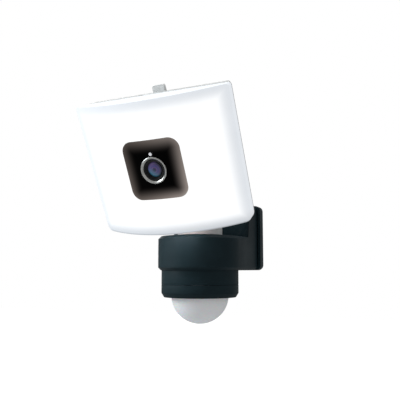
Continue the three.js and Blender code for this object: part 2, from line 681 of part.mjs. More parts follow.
function diffuserGasket() {
  return cut(
    forward(faceOutline(seam.recess), gasketFront + seam.height, seam.height),
    forward(faceOutline(seam.recess + seam.width), gasketFront + seam.height + 1, seam.height + 2));
}

// ---------------------------------------------------------------- lamp
function ledBoard() {
  const plateShape = forward(rearOutline(led.inset), ledBack, led.board, 2);
  const opening = rounded(camera.width + 1, camera.height + 1, camera.corner, 0, headMiddle);
  const packages = [];
  const [wide, high] = [head.bottomWidth / 2 - led.margin, head.height / 2 - led.margin];
  for (let i = 0; i < led.columns; i++) {
    for (let j = 0; j < led.rows; j++) {
      const x = wide * (2 * i / (led.columns - 1) - 1);
      const z = headMiddle + high * (2 * j / (led.rows - 1) - 1);
      const beside = Math.abs(x) > camera.width / 2 + led.size;
      const above = Math.abs(z - headMiddle) > camera.height / 2 + led.size;
      const half = led.size / 2;
      if (beside || above) {
        packages.push(block([x - half, ledFront - led.height, z - half], [x + half, ledFront + 0.2, z + half]));
      }
    }
  }
  return join(cut(plateShape, forward(opening, ledBack + 1, led.board + 2, 3)), ...packages);
}

// The room inside the housing, as an outline that clears the drafted walls.
function rearOutline(inset) {
  const [low, high] = [headBottom + inset, headTop - inset];
  const half = head.bottomWidth / 2 - inset;
  return outline([[-half, low, 4], [half, low, 4], [half, high, 4], [-half, high, 4]]);
}

function heatSpreader() {
  const sheet = forward(rearOutline(spreader.inset), spreaderBack, spreader.thick, 2);
  const posts = headPosts().map(([x, z]) => cut(
    rodY(spreader.post, spreaderBack - 1, floorY - gap, x, z, 16),
    rodY(screw.radius + gap, floorY - screw.length, floorY + 1, x, z, 12)));
  const pegs = controlPegs().map(
    ([x, z]) => rodY(control.peg, spreaderBack - 1, controlFront - gap, x, z, 10));
  return join(sheet, ...posts, ...pegs);
}

function controlPegs() {
  const { pegInset } = control;
  const [left, right] = [-control.left + pegInset, -control.left + control.width - pegInset];
  const [low, high] = [controlTop() - control.height + pegInset, controlTop() - pegInset];
  return [[left, low], [right, low], [left, high], [right, high]];
}

const controlTop = () => headTop - flap.boss - 4;

// ---------------------------------------------------------------- camera
function cameraWindow() {
  const outer = behindFace(faceRadius - camera.sunk, rimBack);
  const inner = behindFace(faceRadius - camera.sunk - camera.thick, rimBack + 1);
  const shape = rounded(camera.width, camera.height, camera.corner, 0, headMiddle);
  const slab = forward(shape, planeY, head.bulge + 4, 6).intersect(outer);
  return cut(
    slab, inner,
    rodY(ring.outer + gap, faceCrown - 2, planeY, 0, headMiddle, 24),
    rodY(indicator.radius + gap, faceCrown - 2, planeY, 0, headMiddle + indicator.up, 14));
}

function cameraFrameSolid() {
  const size = (inset) => rounded(
    camera.width - 2 * inset, camera.height - 2 * inset, camera.corner - inset / 2, 0, headMiddle);
  const limit = behindFace(faceRadius - camera.sunk - camera.thick - gap, frameBack);
  const tubeWall = forward(size(cameraFrame.inset), frameBack, frameBack - faceCrown, 3).intersect(limit);
  const inside = forward(
    size(cameraFrame.inset + cameraFrame.wall), frameBack - cameraFrame.floor, frameBack - faceCrown, 3);
  const at = cameraBoard.size / 2 - 3;
  const pegs = [[-at, -at], [at, -at], [-at, at], [at, at]].map(([x, z]) => rodY(
    cameraFrame.peg, boardFront + gap, frameBack - cameraFrame.floor + 1, x, headMiddle + z, 10));
  const { slotWidth, slotHeight, slotDrop } = cameraFrame;
  const slotShape = rounded(slotWidth, slotHeight, 1, 0, headMiddle - slotDrop);
  const slot = forward(slotShape, frameBack + 1, cameraFrame.floor + 2, 1);
  return join(cut(tubeWall, inside, slot), ...pegs);
}

const forwardOf = (y) => -y; // distance forward of the tilt axis

function lensRing() {
  const front = forwardOf(windowCrown) + ring.proud;
  const back = front - ring.length;
  const { outer, inner, bevel } = ring;
  return turnedForward(
    [[inner, back], [outer, back], [outer, front - bevel], [outer - bevel, front], [inner + bevel, front],
      [inner, front - bevel], [inner, back]], 0, headMiddle, 24);
}

function lensBarrel() {
  const front = forwardOf(windowCrown) - 0.4;
  const back = forwardOf(boardFront) + cameraBoard.thick + gap;
  const step = front - barrel.step;
  const seat = front - barrel.cone;
  const glassBack = seat - glass.thick - 1.2;
  return turnedForward(
    [[barrel.bore, back], [barrel.back, back], [barrel.back, step], [barrel.front, step], [barrel.front, front],
      [barrel.mouth, front], [barrel.throat, seat], [barrel.throat, glassBack], [barrel.bore, glassBack],
      [barrel.bore, back]], 0, headMiddle, 20);
}

function frontGlass() {
  const seat = forwardOf(windowCrown) - 0.4 - barrel.cone;
  const back = seat - glass.thick;
  const points = [[0, back], [glass.radius, back], [glass.radius, seat]];
  const steps = 5;
  for (let i = 1; i <= steps; i++) {
    const angle = (i / steps) * Math.PI / 2;
    points.push([glass.radius * Math.cos(angle), seat + glass.crown * Math.sin(angle)]);
  }
  return turnedForward(points, 0, headMiddle, 20);
}

function rearGlass() {
  const front = forwardOf(windowCrown) - 0.4 - barrel.cone - glass.thick - 3.5;
  return turnedForward(
    [[0, front - glass.rearThick], [glass.rearRadius, front - glass.rearThick + 0.6],
      [glass.rearRadius, front - 0.6], [0, front]], 0, headMiddle, 20);
}

function cameraBoardSolid() {
  const half = cameraBoard.size;
  return forward(rounded(half, half, 2, 0, headMiddle), boardFront, cameraBoard.thick, 2);
}

function lightPipe() {
  const front = forwardOf(windowCrown) - 0.1;
  const back = forwardOf(boardFront) + cameraBoard.thick + gap;
  const { radius } = indicator;
  return turnedForward(
    [[0, back], [radius * 1.3, back], [radius * 1.3, front - 6], [radius, front - 5], [radius, front - 0.4],
      [radius - 0.4, front], [0, front]], 0, headMiddle + indicator.up, 14);
}

// ---------------------------------------------------------------- control electronics in the head
function controlBoard() {
  const x = -control.left + control.width / 2;
  const shape = rounded(control.width, control.height, 2, x, controlTop() - control.height / 2);
  return forward(shape, controlFront + control.thick, control.thick, 2);
}

function cardSocket() {
  const front = controlFront + control.thick + gap;
  const top = controlTop();
  return block([-card.width / 2, front, top - card.height], [card.width / 2, front + card.thick, top]);
}

function speakerSolid() {
  const back = -floorY + gap;
  const { radius, depth } = speaker;
  return turnedForward(
    [[0, back + 1.2], [radius - 3, back], [radius, back], [radius, back + 2], [radius * 0.55, back + depth],
      [0, back + depth]], speaker.x, speakerZ(), 28);
}

function microphoneSolid() {
  const low = headBottom + microphone.up / 2;
  return rodZ(microphone.radius, low, low + microphone.depth, microphone.x, microphoneY(), 16);
}

function antennaSolid() {
  const back = floorY - gap;
  const low = headTop - antenna.down - antenna.height;
  const half = antenna.width / 2;
  return block(
    [antenna.x - half, back - antenna.thick, low],
    [antenna.x + half, back, low + antenna.height]);
}

function headScrew([x, z]) {
  const sunkFace = forwardOf(headBack) + 0.2;
  const under = forwardOf(headBack) + screw.headLength;
  const tip = forwardOf(floorY) + screw.length - 1;
  return turnedForward([
    [0, sunkFace], [screw.head, sunkFace], [screw.head, under],
    [screw.radius, under], [screw.radius, tip], [0, tip],
  ], x, z, 14);
}

function cardFlap() {
  const top = flapLow + flap.thick;
  const lid = block([-flap.width / 2, flapRear - flap.depth, flapLow], [flap.width / 2, flapRear, top]);
  const tabHigh = flap.tabHeight + flap.thick;
  const tabShape = rounded(flap.tabWidth, tabHigh, 2, 0, flapLow + tabHigh / 2);
  return join(lid, forward(tabShape, headBack - gap, headBack - flapRear, 3));
}

function resetButton() {
  const top = flapLow - 2 * gap;
  const low = controlTop() + button.travel + gap;
  return turned(
    [[0, low], [button.radius, low], [button.radius, top - 0.5], [button.radius - 0.5, top], [0, top]],
    cardY, 14, button.x);
}

// ---------------------------------------------------------------- build
piece(part, "wall_plate", wallPlate(), "anthracite");
piece(part, "wall_gasket", wallGasket(), "rubber");
piece(part, "cable_grommet", cableGrommet(), "rubber");
piece(part, "base_housing", baseHousing(), "anthracite");
[["left", -1], ["right", 1]].forEach(([name, side]) => {
  piece(part, `base_screw_${name}`, baseScrewSolid(side), "steel");
});
piece(part, "terminal_block", terminalBlock(), "boardWhite");
piece(part, "power_board", powerBoard(), "boardGreen");
piece(part, "transformer", transformerSolid(), "ferrite");
piece(part, "capacitor",
  rodY(capacitor.radius, boardFace - capacitor.length, boardFace, capacitor.x, capacitor.up), "blackPlastic");

piece(part, "sensor_collar", sensorCollar(), "anthracite");
piece(part, "sensor_ring", sensorRing(), "anthracite");
piece(part, "sensor_dome", sensorDome(), "domeWhite");
piece(part, "sensor_seal", sensorSeal(), "rubber");
const boardLow = boardTop() - sensorBoard.thick;
piece(part, "sensor_board", rodZ(sensorBoardRadius, boardLow, boardTop(), 0, panY, 32), "boardGreen");
piece(part, "pyro_sensor",
  rodZ(pyro.radius, boardLow - gap - pyro.height, boardLow - gap, 0, panY, 20), "steel");

const washerLow = shelf + gap;
piece(part, "pan_washer",
  tube(turret.radius - 1, turret.hub + play, washerLow, washerLow + panStack.washer, panY), "domeWhite");
const springTop = shelf - base.wall - gap;
piece(neckGroup, "pan_spring_washer",
  tube(turret.hub + panStack.springWidth, turret.hub + gap, springTop - panStack.spring, springTop), "steel");
const nutTop = springTop - panStack.spring - gap;
piece(neckGroup, "pan_nut", cut(
  rodZ(panStack.nutRadius, nutTop - panStack.nut, nutTop, 0, 0, 6),
  rodZ(turret.hub + gap, nutTop - panStack.nut - 1, nutTop + 1, 0, 0, 32)), "steel");

piece(neckGroup, "neck_arm", neckArm(), "whitePlastic");
piece(neckGroup, "neck_cover", sideways(coverProfile(gap), -coverHalf(), 2 * coverHalf()), "whitePlastic");
piece(neckGroup, "neck_wires", neckWires(), "rubber");
piece(neckGroup, "tilt_bolt", tiltBoltSolid(), "steel");
piece(neckGroup, "tilt_nut", tiltNut(), "steel");
[["left", -1], ["right", 1]].forEach(([name, side]) => {
  piece(neckGroup, `tilt_washer_${name}`, tiltWasher(side), "steel");
  piece(headGroup, `tilt_cap_${name}`, tiltCap(side), "whitePlastic");
});

piece(headGroup, "head_housing", headHousing(), "whitePlastic");
piece(headGroup, "diffuser", diffuserShell(), "opal");
piece(headGroup, "diffuser_gasket", diffuserGasket(), "rubber");
piece(headGroup, "led_board", ledBoard(), "boardWhite");
piece(headGroup, "heat_spreader", heatSpreader(), "aluminium");

piece(headGroup, "camera_window", cameraWindow(), "blackGloss");
piece(headGroup, "camera_frame", cameraFrameSolid(), "blackPlastic");
piece(headGroup, "lens_ring", lensRing(), "silver");
piece(headGroup, "lens_barrel", lensBarrel(), "blackPlastic");
piece(headGroup, "lens_front_glass", frontGlass(), "lensGlass");
piece(headGroup, "lens_rear_glass", rearGlass(), "lensGlass");
piece(headGroup, "camera_board", cameraBoardSolid(), "boardGreen");
piece(headGroup, "light_pipe", lightPipe(), "opal");

piece(headGroup, "control_board", controlBoard(), "boardGreen");
piece(headGroup, "card_socket", cardSocket(), "steel");
piece(headGroup, "speaker", speakerSolid(), "blackPlastic");
piece(headGroup, "microphone", microphoneSolid(), "steel");
piece(headGroup, "wireless_antenna", antennaSolid(), "copper");
headPosts().forEach((place, i) => piece(headGroup, `head_screw_${i + 1}`, headScrew(place), "steel"));
piece(headGroup, "card_flap", cardFlap(), "rubber");
piece(headGroup, "reset_button", resetButton(), "whitePlastic");

export default part;
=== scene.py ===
import json
import math

import bmesh
import bpy
from mathutils import Matrix, Vector


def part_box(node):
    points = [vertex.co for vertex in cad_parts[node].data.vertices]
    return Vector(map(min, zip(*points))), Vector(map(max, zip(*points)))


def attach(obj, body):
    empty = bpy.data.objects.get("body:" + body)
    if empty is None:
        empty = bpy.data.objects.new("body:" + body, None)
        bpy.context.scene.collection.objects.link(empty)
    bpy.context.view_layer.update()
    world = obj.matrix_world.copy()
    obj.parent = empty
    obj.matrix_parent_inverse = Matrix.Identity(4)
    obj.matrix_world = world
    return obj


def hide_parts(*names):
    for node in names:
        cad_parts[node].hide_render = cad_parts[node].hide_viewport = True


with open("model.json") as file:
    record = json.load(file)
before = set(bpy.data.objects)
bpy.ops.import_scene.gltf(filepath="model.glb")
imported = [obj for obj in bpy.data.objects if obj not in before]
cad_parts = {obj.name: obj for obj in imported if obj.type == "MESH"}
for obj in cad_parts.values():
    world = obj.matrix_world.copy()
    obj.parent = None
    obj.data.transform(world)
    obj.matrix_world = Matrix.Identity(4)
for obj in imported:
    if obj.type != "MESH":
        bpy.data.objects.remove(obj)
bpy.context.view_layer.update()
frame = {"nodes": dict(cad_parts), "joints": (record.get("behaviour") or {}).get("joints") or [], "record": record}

# pieces are drawn in millimetres, then seated in the frame, which is in metres
mm = 0.001
joints = {joint["name"]: joint for joint in frame["joints"]}
panPoint = Vector(joints["pan"]["pos_m"])
tiltPoint = Vector(joints["tilt"]["pos_m"])
pressAxis = Vector(joints["reset_press"]["axis"])  # points down through the head
headLean = math.atan2(pressAxis.y, -pressAxis.z)
headRoll = math.asin(-pressAxis.x)  # the head sits a little askew on its hinge
headTurn = Matrix.Rotation(headLean, 4, "X") @ Matrix.Rotation(headRoll, 4, "Y")

basePlace = Matrix.Scale(mm, 4)
panPlace = Matrix.Translation(panPoint) @ basePlace
headPlace = Matrix.Translation(tiltPoint) @ headTurn @ basePlace
hingePlace = Matrix.Translation(tiltPoint) @ Matrix.Rotation(headLean, 4, "X") @ basePlace
neckPlace = Matrix.Translation(tiltPoint) @ basePlace
toFront = Matrix.Rotation(math.radians(90), 4, "X")  # a turned piece's axis laid forward
toSide = Matrix.Rotation(math.radians(90), 4, "Y")   # or laid to the right
bodyOf = {node: body for body, nodes in frame["record"]["behaviour"]["bodies"].items() for node in nodes}


# ways of working: one piece awake at a time, faces and edges picked by where they are
def wake(piece):
    if bpy.context.mode != "OBJECT":
        bpy.ops.object.mode_set(mode="OBJECT")
    bpy.ops.object.select_all(action="DESELECT")
    piece.select_set(True)
    bpy.context.view_layer.objects.active = piece


def startEdit(piece, kind="FACE"):
    wake(piece)
    bpy.ops.object.mode_set(mode="EDIT")
    bpy.ops.mesh.select_mode(type=kind)
    bpy.ops.mesh.select_all(action="DESELECT")


def endEdit():
    bpy.ops.object.mode_set(mode="OBJECT")


def near(first, second):
    return abs(first - second) < 0.01


def pickFaces(piece, test):
    startEdit(piece, "FACE")
    shape = bmesh.from_edit_mesh(piece.data)
    for face in shape.faces:
        if test(face.calc_center_median(), face.normal):
            face.select_set(True)
    bmesh.update_edit_mesh(piece.data)


def pickEdges(piece, test):
    startEdit(piece, "EDGE")
    shape = bmesh.from_edit_mesh(piece.data)
    for edge in shape.edges:
        if test(edge.verts[0].co, edge.verts[1].co):
            edge.select_set(True)
    bmesh.update_edit_mesh(piece.data)


def named(name):
    piece = bpy.context.active_object
    piece.name = name
    piece.data.name = name
    bpy.ops.object.transform_apply(location=True, rotation=True, scale=True)
    return piece


def boxPiece(name, low, high):
    low, high = Vector(low), Vector(high)
    bpy.ops.object.select_all(action="DESELECT")
    bpy.ops.mesh.primitive_cube_add(size=1, location=(low + high) / 2, scale=high - low)
    return named(name)


def rodPiece(name, radius, start, end, steps=48):
    start, end = Vector(start), Vector(end)
    turn = (end - start).to_track_quat("Z", "Y").to_euler()
    bpy.ops.object.select_all(action="DESELECT")
    bpy.ops.mesh.primitive_cylinder_add(
        vertices=steps, radius=radius, depth=(end - start).length, location=(start + end) / 2, rotation=turn)
    return named(name)


def arc(centre, radius, start, end, steps):
    # points of an arc, angles in degrees
    turns = [math.radians(start + (end - start) * i / steps) for i in range(steps + 1)]
    return [(centre[0] + radius * math.cos(a), centre[1] + radius * math.sin(a)) for a in turns]


def drawnLine(name, points):
    # one vertex, extruded from point to point
    bpy.ops.object.select_all(action="DESELECT")
    bpy.ops.mesh.primitive_plane_add(size=1)
    line = named(name)
    startEdit(line, "VERT")
    bpy.ops.mesh.select_all(action="SELECT")
    bpy.ops.mesh.merge(type="CENTER")
    bpy.ops.transform.translate(value=points[0])
    for before, after in zip(points, points[1:]):
        step = Vector(after) - Vector(before)
        bpy.ops.mesh.extrude_region_move(TRANSFORM_OT_translate={"value": step})
    return line


def turnedPiece(name, profile, steps=128, closed=False):
    # profile points are (radius, height); it is spun about the upright axis
    points = [(r, 0, z) for r, z in profile]
    if closed:
        points.append(points[0])
    piece = drawnLine(name, points)
    bpy.ops.mesh.select_all(action="SELECT")
    bpy.ops.mesh.spin(steps=steps, angle=2 * math.pi, center=(0, 0, 0), axis=(0, 0, 1))
    bpy.ops.mesh.select_all(action="SELECT")
    bpy.ops.mesh.remove_doubles(threshold=0.002)
    bpy.ops.mesh.normals_make_consistent(inside=False)
    endEdit()
    return piece


def outlinePiece(name, points, push):
    # a flat closed outline of 3-D points, filled and pushed out by a vector
    piece = drawnLine(name, list(points) + [points[0]])
    bpy.ops.mesh.select_all(action="SELECT")
    bpy.ops.mesh.remove_doubles(threshold=0.002)
    bpy.ops.mesh.select_all(action="SELECT")
    bpy.ops.mesh.edge_face_add()
    bpy.ops.mesh.select_mode(type="FACE")
    bpy.ops.mesh.select_all(action="SELECT")
    bpy.ops.mesh.extrude_region_move(TRANSFORM_OT_translate={"value": push})
    bpy.ops.mesh.select_all(action="SELECT")
    bpy.ops.mesh.normals_make_consistent(inside=False)
    endEdit()
    return piece


def frameOutline(low, high, corners, steps=10):
    # a rounded rectangle in x and z; corners are radii from bottom left, anticlockwise
    (left, bottom), (right, top) = low, high
    places = [(left, bottom, 1, 1, 180), (right, bottom, -1, 1, 270),
              (right, top, -1, -1, 0), (left, top, 1, -1, 90)]
    points = []
    for (x, z, sx, sz, start), radius in zip(places, corners):
        points += arc((x + sx * radius, z + sz * radius), radius, start, start + 90, steps)
    return points


def level(points, y):
    return [(x, y, z) for x, z in points]


def applyAll(piece):
    wake(piece)
    for modifier in list(piece.modifiers):
        bpy.ops.object.modifier_apply(modifier=modifier.name)


def carve(piece, *tools, how="DIFFERENCE"):
    # a cutting piece reaches a few millimetres past the surfaces that it goes through
    for tool in tools:
        wake(piece)
        modifier = piece.modifiers.new("carve", "BOOLEAN")
        modifier.operation = how
        modifier.solver = "EXACT"
        modifier.object = tool
        bpy.ops.object.modifier_apply(modifier=modifier.name)
        bpy.data.objects.remove(tool)
    return piece


def unite(piece, *others):
    return carve(piece, *others, how="UNION")


def soften(piece, width, segments=3, limit=28):
    # small rounded edges, with the flat faces kept flat in the shading
    wake(piece)
    bpy.ops.object.shade_smooth()
    bevel = piece.modifiers.new("edges", "BEVEL")
    bevel.width = width
    bevel.segments = segments
    bevel.limit_method = "ANGLE"
    bevel.angle_limit = math.radians(limit)
    bevel.miter_outer = "MITER_ARC"
    bevel.harden_normals = True
    bevel.use_clamp_overlap = True
    applyAll(piece)
    return piece


def smooth(piece, limit=35):
    wake(piece)
    bpy.ops.object.shade_smooth_by_angle(angle=math.radians(limit))
    return piece


def thicken(piece, depth):
    # an open skin gets its wall, inwards
    wall = piece.modifiers.new("wall", "SOLIDIFY")
    wall.thickness = depth
    wall.offset = -1
    wall.use_even_offset = True
    applyAll(piece)


def seat(piece, place):
    # millimetres in the piece's own place become metres in the frame
    wake(piece)
    piece.matrix_world = place
    bpy.ops.object.transform_apply(location=True, rotation=True, scale=True)
    return piece


def enter(piece, material, nodes=(), body=None):
    nodes = nodes or (piece.name.removesuffix("_skin"),)
    piece.data.materials.clear()
    piece.data.materials.append(material)
    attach(piece, body or bodyOf[nodes[0]])
    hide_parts(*nodes)
    return piece


def ownBox(node, place):
    # a CAD node's corners in a piece's own millimetres
    back = place.inverted()
    points = [back @ vertex.co for vertex in frame["nodes"][node].data.vertices]
    low = Vector([min(point[i] for point in points) for i in range(3)])
    high = Vector([max(point[i] for point in points) for i in range(3)])
    return low, high


# shader groups that several finishes share
def newGroup(name, inputs, outputs):
    group = bpy.data.node_groups.new(name, "ShaderNodeTree")
    for label, kind, value in inputs:
        socket = group.interface.new_socket(label, in_out="INPUT", socket_type=kind)
        socket.default_value = value
    for label, kind in outputs:
        group.interface.new_socket(label, in_out="OUTPUT", socket_type=kind)
    enterNode = group.nodes.new("NodeGroupInput")
    leaveNode = group.nodes.new("NodeGroupOutput")
    return group, enterNode, leaveNode


def addNode(tree, kind, **settings):
    node = tree.nodes.new(kind)
    for name, value in settings.items():
        setattr(node, name, value)
    return node


def math2(tree, operation, first, second=None, clamp=False):
    node = addNode(tree, "ShaderNodeMath", operation=operation, use_clamp=clamp)
    for i, value in enumerate((first, second)):
        if value is None:
            continue
        if isinstance(value, (int, float)):
            node.inputs[i].default_value = value
        else:
            tree.links.new(value, node.inputs[i])
    return node.outputs[0]


def remap(tree, value, fromLow, fromHigh, toLow=0.0, toHigh=1.0):
    node = addNode(tree, "ShaderNodeMapRange", interpolation_type="SMOOTHSTEP")
    tree.links.new(value, node.inputs["Value"])
    settings = zip(("From Min", "From Max", "To Min", "To Max"), (fromLow, fromHigh, toLow, toHigh))
    for name, setting in settings:
        if isinstance(setting, (int, float)):
            node.inputs[name].default_value = setting
        else:
            tree.links.new(setting, node.inputs[name])
    return node.outputs["Result"]


def objectPoint(tree):
    return addNode(tree, "ShaderNodeTexCoord").outputs["Object"]


def noise(tree, point, scale, detail=3.0, rough=0.5):
    node = addNode(tree, "ShaderNodeTexNoise")
    tree.links.new(point, node.inputs["Vector"])
    if isinstance(scale, (int, float)):
        node.inputs["Scale"].default_value = scale
    else:
        tree.links.new(scale, node.inputs["Scale"])
    node.inputs["Detail"].default_value = detail
    node.inputs["Roughness"].default_value = rough
    return node.outputs["Fac"]


def makeGrain():
    # the fine spark-eroded grain of a moulding, with slow patches of tone
    group, source, result = newGroup(
        "mouldGrain",
        [("Size", "NodeSocketFloat", 2600.0), ("Patch", "NodeSocketFloat", 28.0)],
        [("Height", "NodeSocketFloat"), ("Tone", "NodeSocketFloat")])
    point = objectPoint(group)
    fine = noise(group, point, source.outputs["Size"], 2.0, 0.6)
    cells = addNode(group, "ShaderNodeTexVoronoi", feature="SMOOTH_F1")
    group.links.new(point, cells.inputs["Vector"])
    group.links.new(source.outputs["Size"], cells.inputs["Scale"])
    height = math2(group, "ADD", math2(group, "MULTIPLY", fine, 0.5), cells.outputs["Distance"])
    group.links.new(height, result.inputs["Height"])
    group.links.new(noise(group, point, source.outputs["Patch"], 4.0, 0.6), result.inputs["Tone"])
    return group


def makeEdgeWearAndHighlight():
    # corners a little lighter, partly as rubbed wear and partly as a painted highlight, broken up by noise
    group, source, result = newGroup(
        "edgeWear",
        [("Width", "NodeSocketFloat", 0.0012), ("Amount", "NodeSocketFloat", 0.5)],
        [("Mask", "NodeSocketFloat")])
    rounding = addNode(group, "ShaderNodeBevel", samples=6)
    group.links.new(source.outputs["Width"], rounding.inputs["Radius"])
    facing = addNode(group, "ShaderNodeNewGeometry")
    dot = addNode(group, "ShaderNodeVectorMath", operation="DOT_PRODUCT")
    group.links.new(rounding.outputs["Normal"], dot.inputs[0])
    group.links.new(facing.outputs["Normal"], dot.inputs[1])
    bend = remap(group, dot.outputs["Value"], 0.995, 0.90)
    broken = remap(group, noise(group, objectPoint(group), 420.0, 5.0, 0.65), 0.35, 0.68)
    mask = math2(group, "MULTIPLY", math2(group, "MULTIPLY", bend, broken), source.outputs["Amount"], True)
    group.links.new(mask, result.inputs["Mask"])
    return group


def makeDust():
    # a thin pale film on what faces up
    group, source, result = newGroup(
        "dustFilm", [("Amount", "NodeSocketFloat", 0.3)], [("Mask", "NodeSocketFloat")])
    facing = addNode(group, "ShaderNodeNewGeometry")
    upright = addNode(group, "ShaderNodeSeparateXYZ")
    group.links.new(facing.outputs["Normal"], upright.inputs[0])
    up = remap(group, upright.outputs["Z"], 0.35, 0.95)
    specks = remap(group, noise(group, objectPoint(group), 160.0, 6.0, 0.7), 0.42, 0.72)
    mask = math2(group, "MULTIPLY", math2(group, "MULTIPLY", up, specks), source.outputs["Amount"], True)
    group.links.new(mask, result.inputs["Mask"])
    return group


def headAxes(tree):
    # how far a point lies across and up the head, in the head's own directions and in metres
    own = addNode(tree, "ShaderNodeMapping", vector_type="TEXTURE")
    own.inputs["Location"].default_value = tiltPoint
    own.inputs["Rotation"].default_value = headTurn.to_euler()
    tree.links.new(objectPoint(tree), own.inputs["Vector"])
    parts = addNode(tree, "ShaderNodeSeparateXYZ")
    tree.links.new(own.outputs["Vector"], parts.inputs[0])
    return parts.outputs["X"], parts.outputs["Z"]


def beyondCore(tree, away, half, corner):
    # how far a point passes the straight part of an outline's edge
    outwards = math2(tree, "ABSOLUTE", away)
    return math2(tree, "SUBTRACT", outwards, math2(tree, "SUBTRACT", half, corner))


def lengthOf(tree, first, second):
    squares = [math2(tree, "MULTIPLY", value, value) for value in (first, second)]
    return math2(tree, "SQRT", math2(tree, "ADD", *squares))


def makeFaceDistance():
    # how far a point lies inside the head's front outline or a rounded window in it, in metres
    group, source, result = newGroup(
        "faceDistance",
        [("Half Width", "NodeSocketFloat", 0.078), ("Half Height", "NodeSocketFloat", 0.064),
         ("Middle", "NodeSocketFloat", 0.044), ("Corner", "NodeSocketFloat", 0.01)],
        [("Inside", "NodeSocketFloat"), ("Left To Right", "NodeSocketFloat"),
         ("Low To High", "NodeSocketFloat")])
    across, up = headAxes(group)
    halfWidth, halfHeight = source.outputs["Half Width"], source.outputs["Half Height"]
    corner = source.outputs["Corner"]
    rise = math2(group, "SUBTRACT", up, source.outputs["Middle"])
    outX = beyondCore(group, across, halfWidth, corner)
    outZ = beyondCore(group, rise, halfHeight, corner)
    beyond = lengthOf(group, math2(group, "MAXIMUM", outX, 0.0), math2(group, "MAXIMUM", outZ, 0.0))
    within = math2(group, "MINIMUM", math2(group, "MAXIMUM", outX, outZ), 0.0)
    inside = math2(group, "SUBTRACT", corner, math2(group, "ADD", beyond, within))
    group.links.new(inside, result.inputs["Inside"])
    group.links.new(math2(group, "DIVIDE", across, halfWidth), result.inputs["Left To Right"])
    group.links.new(math2(group, "DIVIDE", rise, halfHeight), result.inputs["Low To High"])
    return group


mouldGrain = makeGrain()
edgeWear = makeEdgeWearAndHighlight()
dustFilm = makeDust()
faceDistance = makeFaceDistance()
print("shader groups ready")


def srgb(red, green, blue):
    def linear(value):
        value /= 255
        return value / 12.92 if value <= 0.04045 else ((value + 0.055) / 1.055) ** 2.4
    return (linear(red), linear(green), linear(blue), 1)


def newFinish(name, **sockets):
    material = bpy.data.materials.new(name)
    material.use_nodes = True
    shader = material.node_tree.nodes["Principled BSDF"]
    for label, value in sockets.items():
        shader.inputs[label.replace("_", " ")].default_value = value
    material.diffuse_color = shader.inputs["Base Color"].default_value
    return material, material.node_tree, shader


def useGroup(tree, group, **values):
    node = addNode(tree, "ShaderNodeGroup", node_tree=group)
    for label, value in values.items():
        node.inputs[label.replace("_", " ")].default_value = value
    return node


def mixColour(tree, factor, first, second, blend="MIX"):
    node = addNode(tree, "ShaderNodeMix", data_type="RGBA", blend_type=blend)
    sockets = [node.inputs[0], node.inputs[6], node.inputs[7]]
    for socket, value in zip(sockets, (factor, first, second)):
        if isinstance(value, (int, float, tuple)):
            socket.default_value = value
        else:
            tree.links.new(value, socket)
    return node.outputs[2]


def bump(tree, shader, height, strength, distance):
    node = addNode(tree, "ShaderNodeBump")
    node.inputs["Strength"].default_value = strength
    node.inputs["Distance"].default_value = distance
    tree.links.new(height, node.inputs["Height"])
    tree.links.new(node.outputs["Normal"], shader.inputs["Normal"])


def mouldedPlastic(name, colour, second, wornAndLitEdge, rough, grain, strength, wearAndHighlight, dust):
    # colour and second are the two tones that the patches run between
    material, tree, shader = newFinish(name, Base_Color=colour)
    grainNode = useGroup(tree, mouldGrain, Size=grain)
    wearHighlightNode = useGroup(tree, edgeWear, Amount=wearAndHighlight)
    dustNode = useGroup(tree, dustFilm, Amount=dust)
    tone = remap(tree, grainNode.outputs["Tone"], 0.3, 0.7)
    body = mixColour(tree, tone, colour, second)
    # the edge colour goes in along the edge mask: partly wear, partly a painted highlight on the edges
    body = mixColour(tree, wearHighlightNode.outputs["Mask"], body, wornAndLitEdge)
    body = mixColour(tree, dustNode.outputs["Mask"], body, srgb(150, 148, 142))
    tree.links.new(body, shader.inputs["Base Color"])
    roughness = remap(tree, grainNode.outputs["Tone"], 0.2, 0.8, rough - 0.06, rough + 0.06)
    roughness = math2(tree, "ADD", roughness, math2(tree, "MULTIPLY", dustNode.outputs["Mask"], 0.4), True)
    tree.links.new(roughness, shader.inputs["Roughness"])
    bump(tree, shader, grainNode.outputs["Height"], strength, 0.0001)
    return material


def anthraciteFinish():
    material = mouldedPlastic(
        "anthracitePlastic", srgb(26, 45, 51), srgb(21, 39, 45), srgb(58, 78, 86),
        rough=0.5, grain=2400.0, strength=0.3, wearAndHighlight=0.2, dust=0.05)
    material.node_tree.nodes["Principled BSDF"].inputs["Specular IOR Level"].default_value = 0.14
    return material


def whiteFinish():
    return mouldedPlastic(
        "whitePlastic", srgb(226, 227, 226), srgb(219, 220, 219), srgb(240, 240, 238),
        rough=0.42, grain=2400.0, strength=0.2, wearAndHighlight=0.35, dust=0.12)


def blackFinish():
    return mouldedPlastic(
        "blackPlastic", srgb(20, 20, 21), srgb(27, 27, 28), srgb(70, 70, 72),
        rough=0.5, grain=2000.0, strength=0.25, wearAndHighlight=0.3, dust=0.05)


def rubberFinish(name, colour, second):
    return mouldedPlastic(
        name, colour, second, srgb(70, 78, 82), rough=0.7, grain=1600.0, strength=0.3, wearAndHighlight=0.1, dust=0.05)


def onFace(tree, node, corner):
    # measures across the head's front, taken from the outline of one of its nodes
    low, high = ownBox(node, headPlace)
    return useGroup(
        tree, faceDistance, Corner=corner, Half_Width=high.x * mm,
        Half_Height=(high.z - low.z) / 2 * mm, Middle=(high.z + low.z) / 2 * mm)


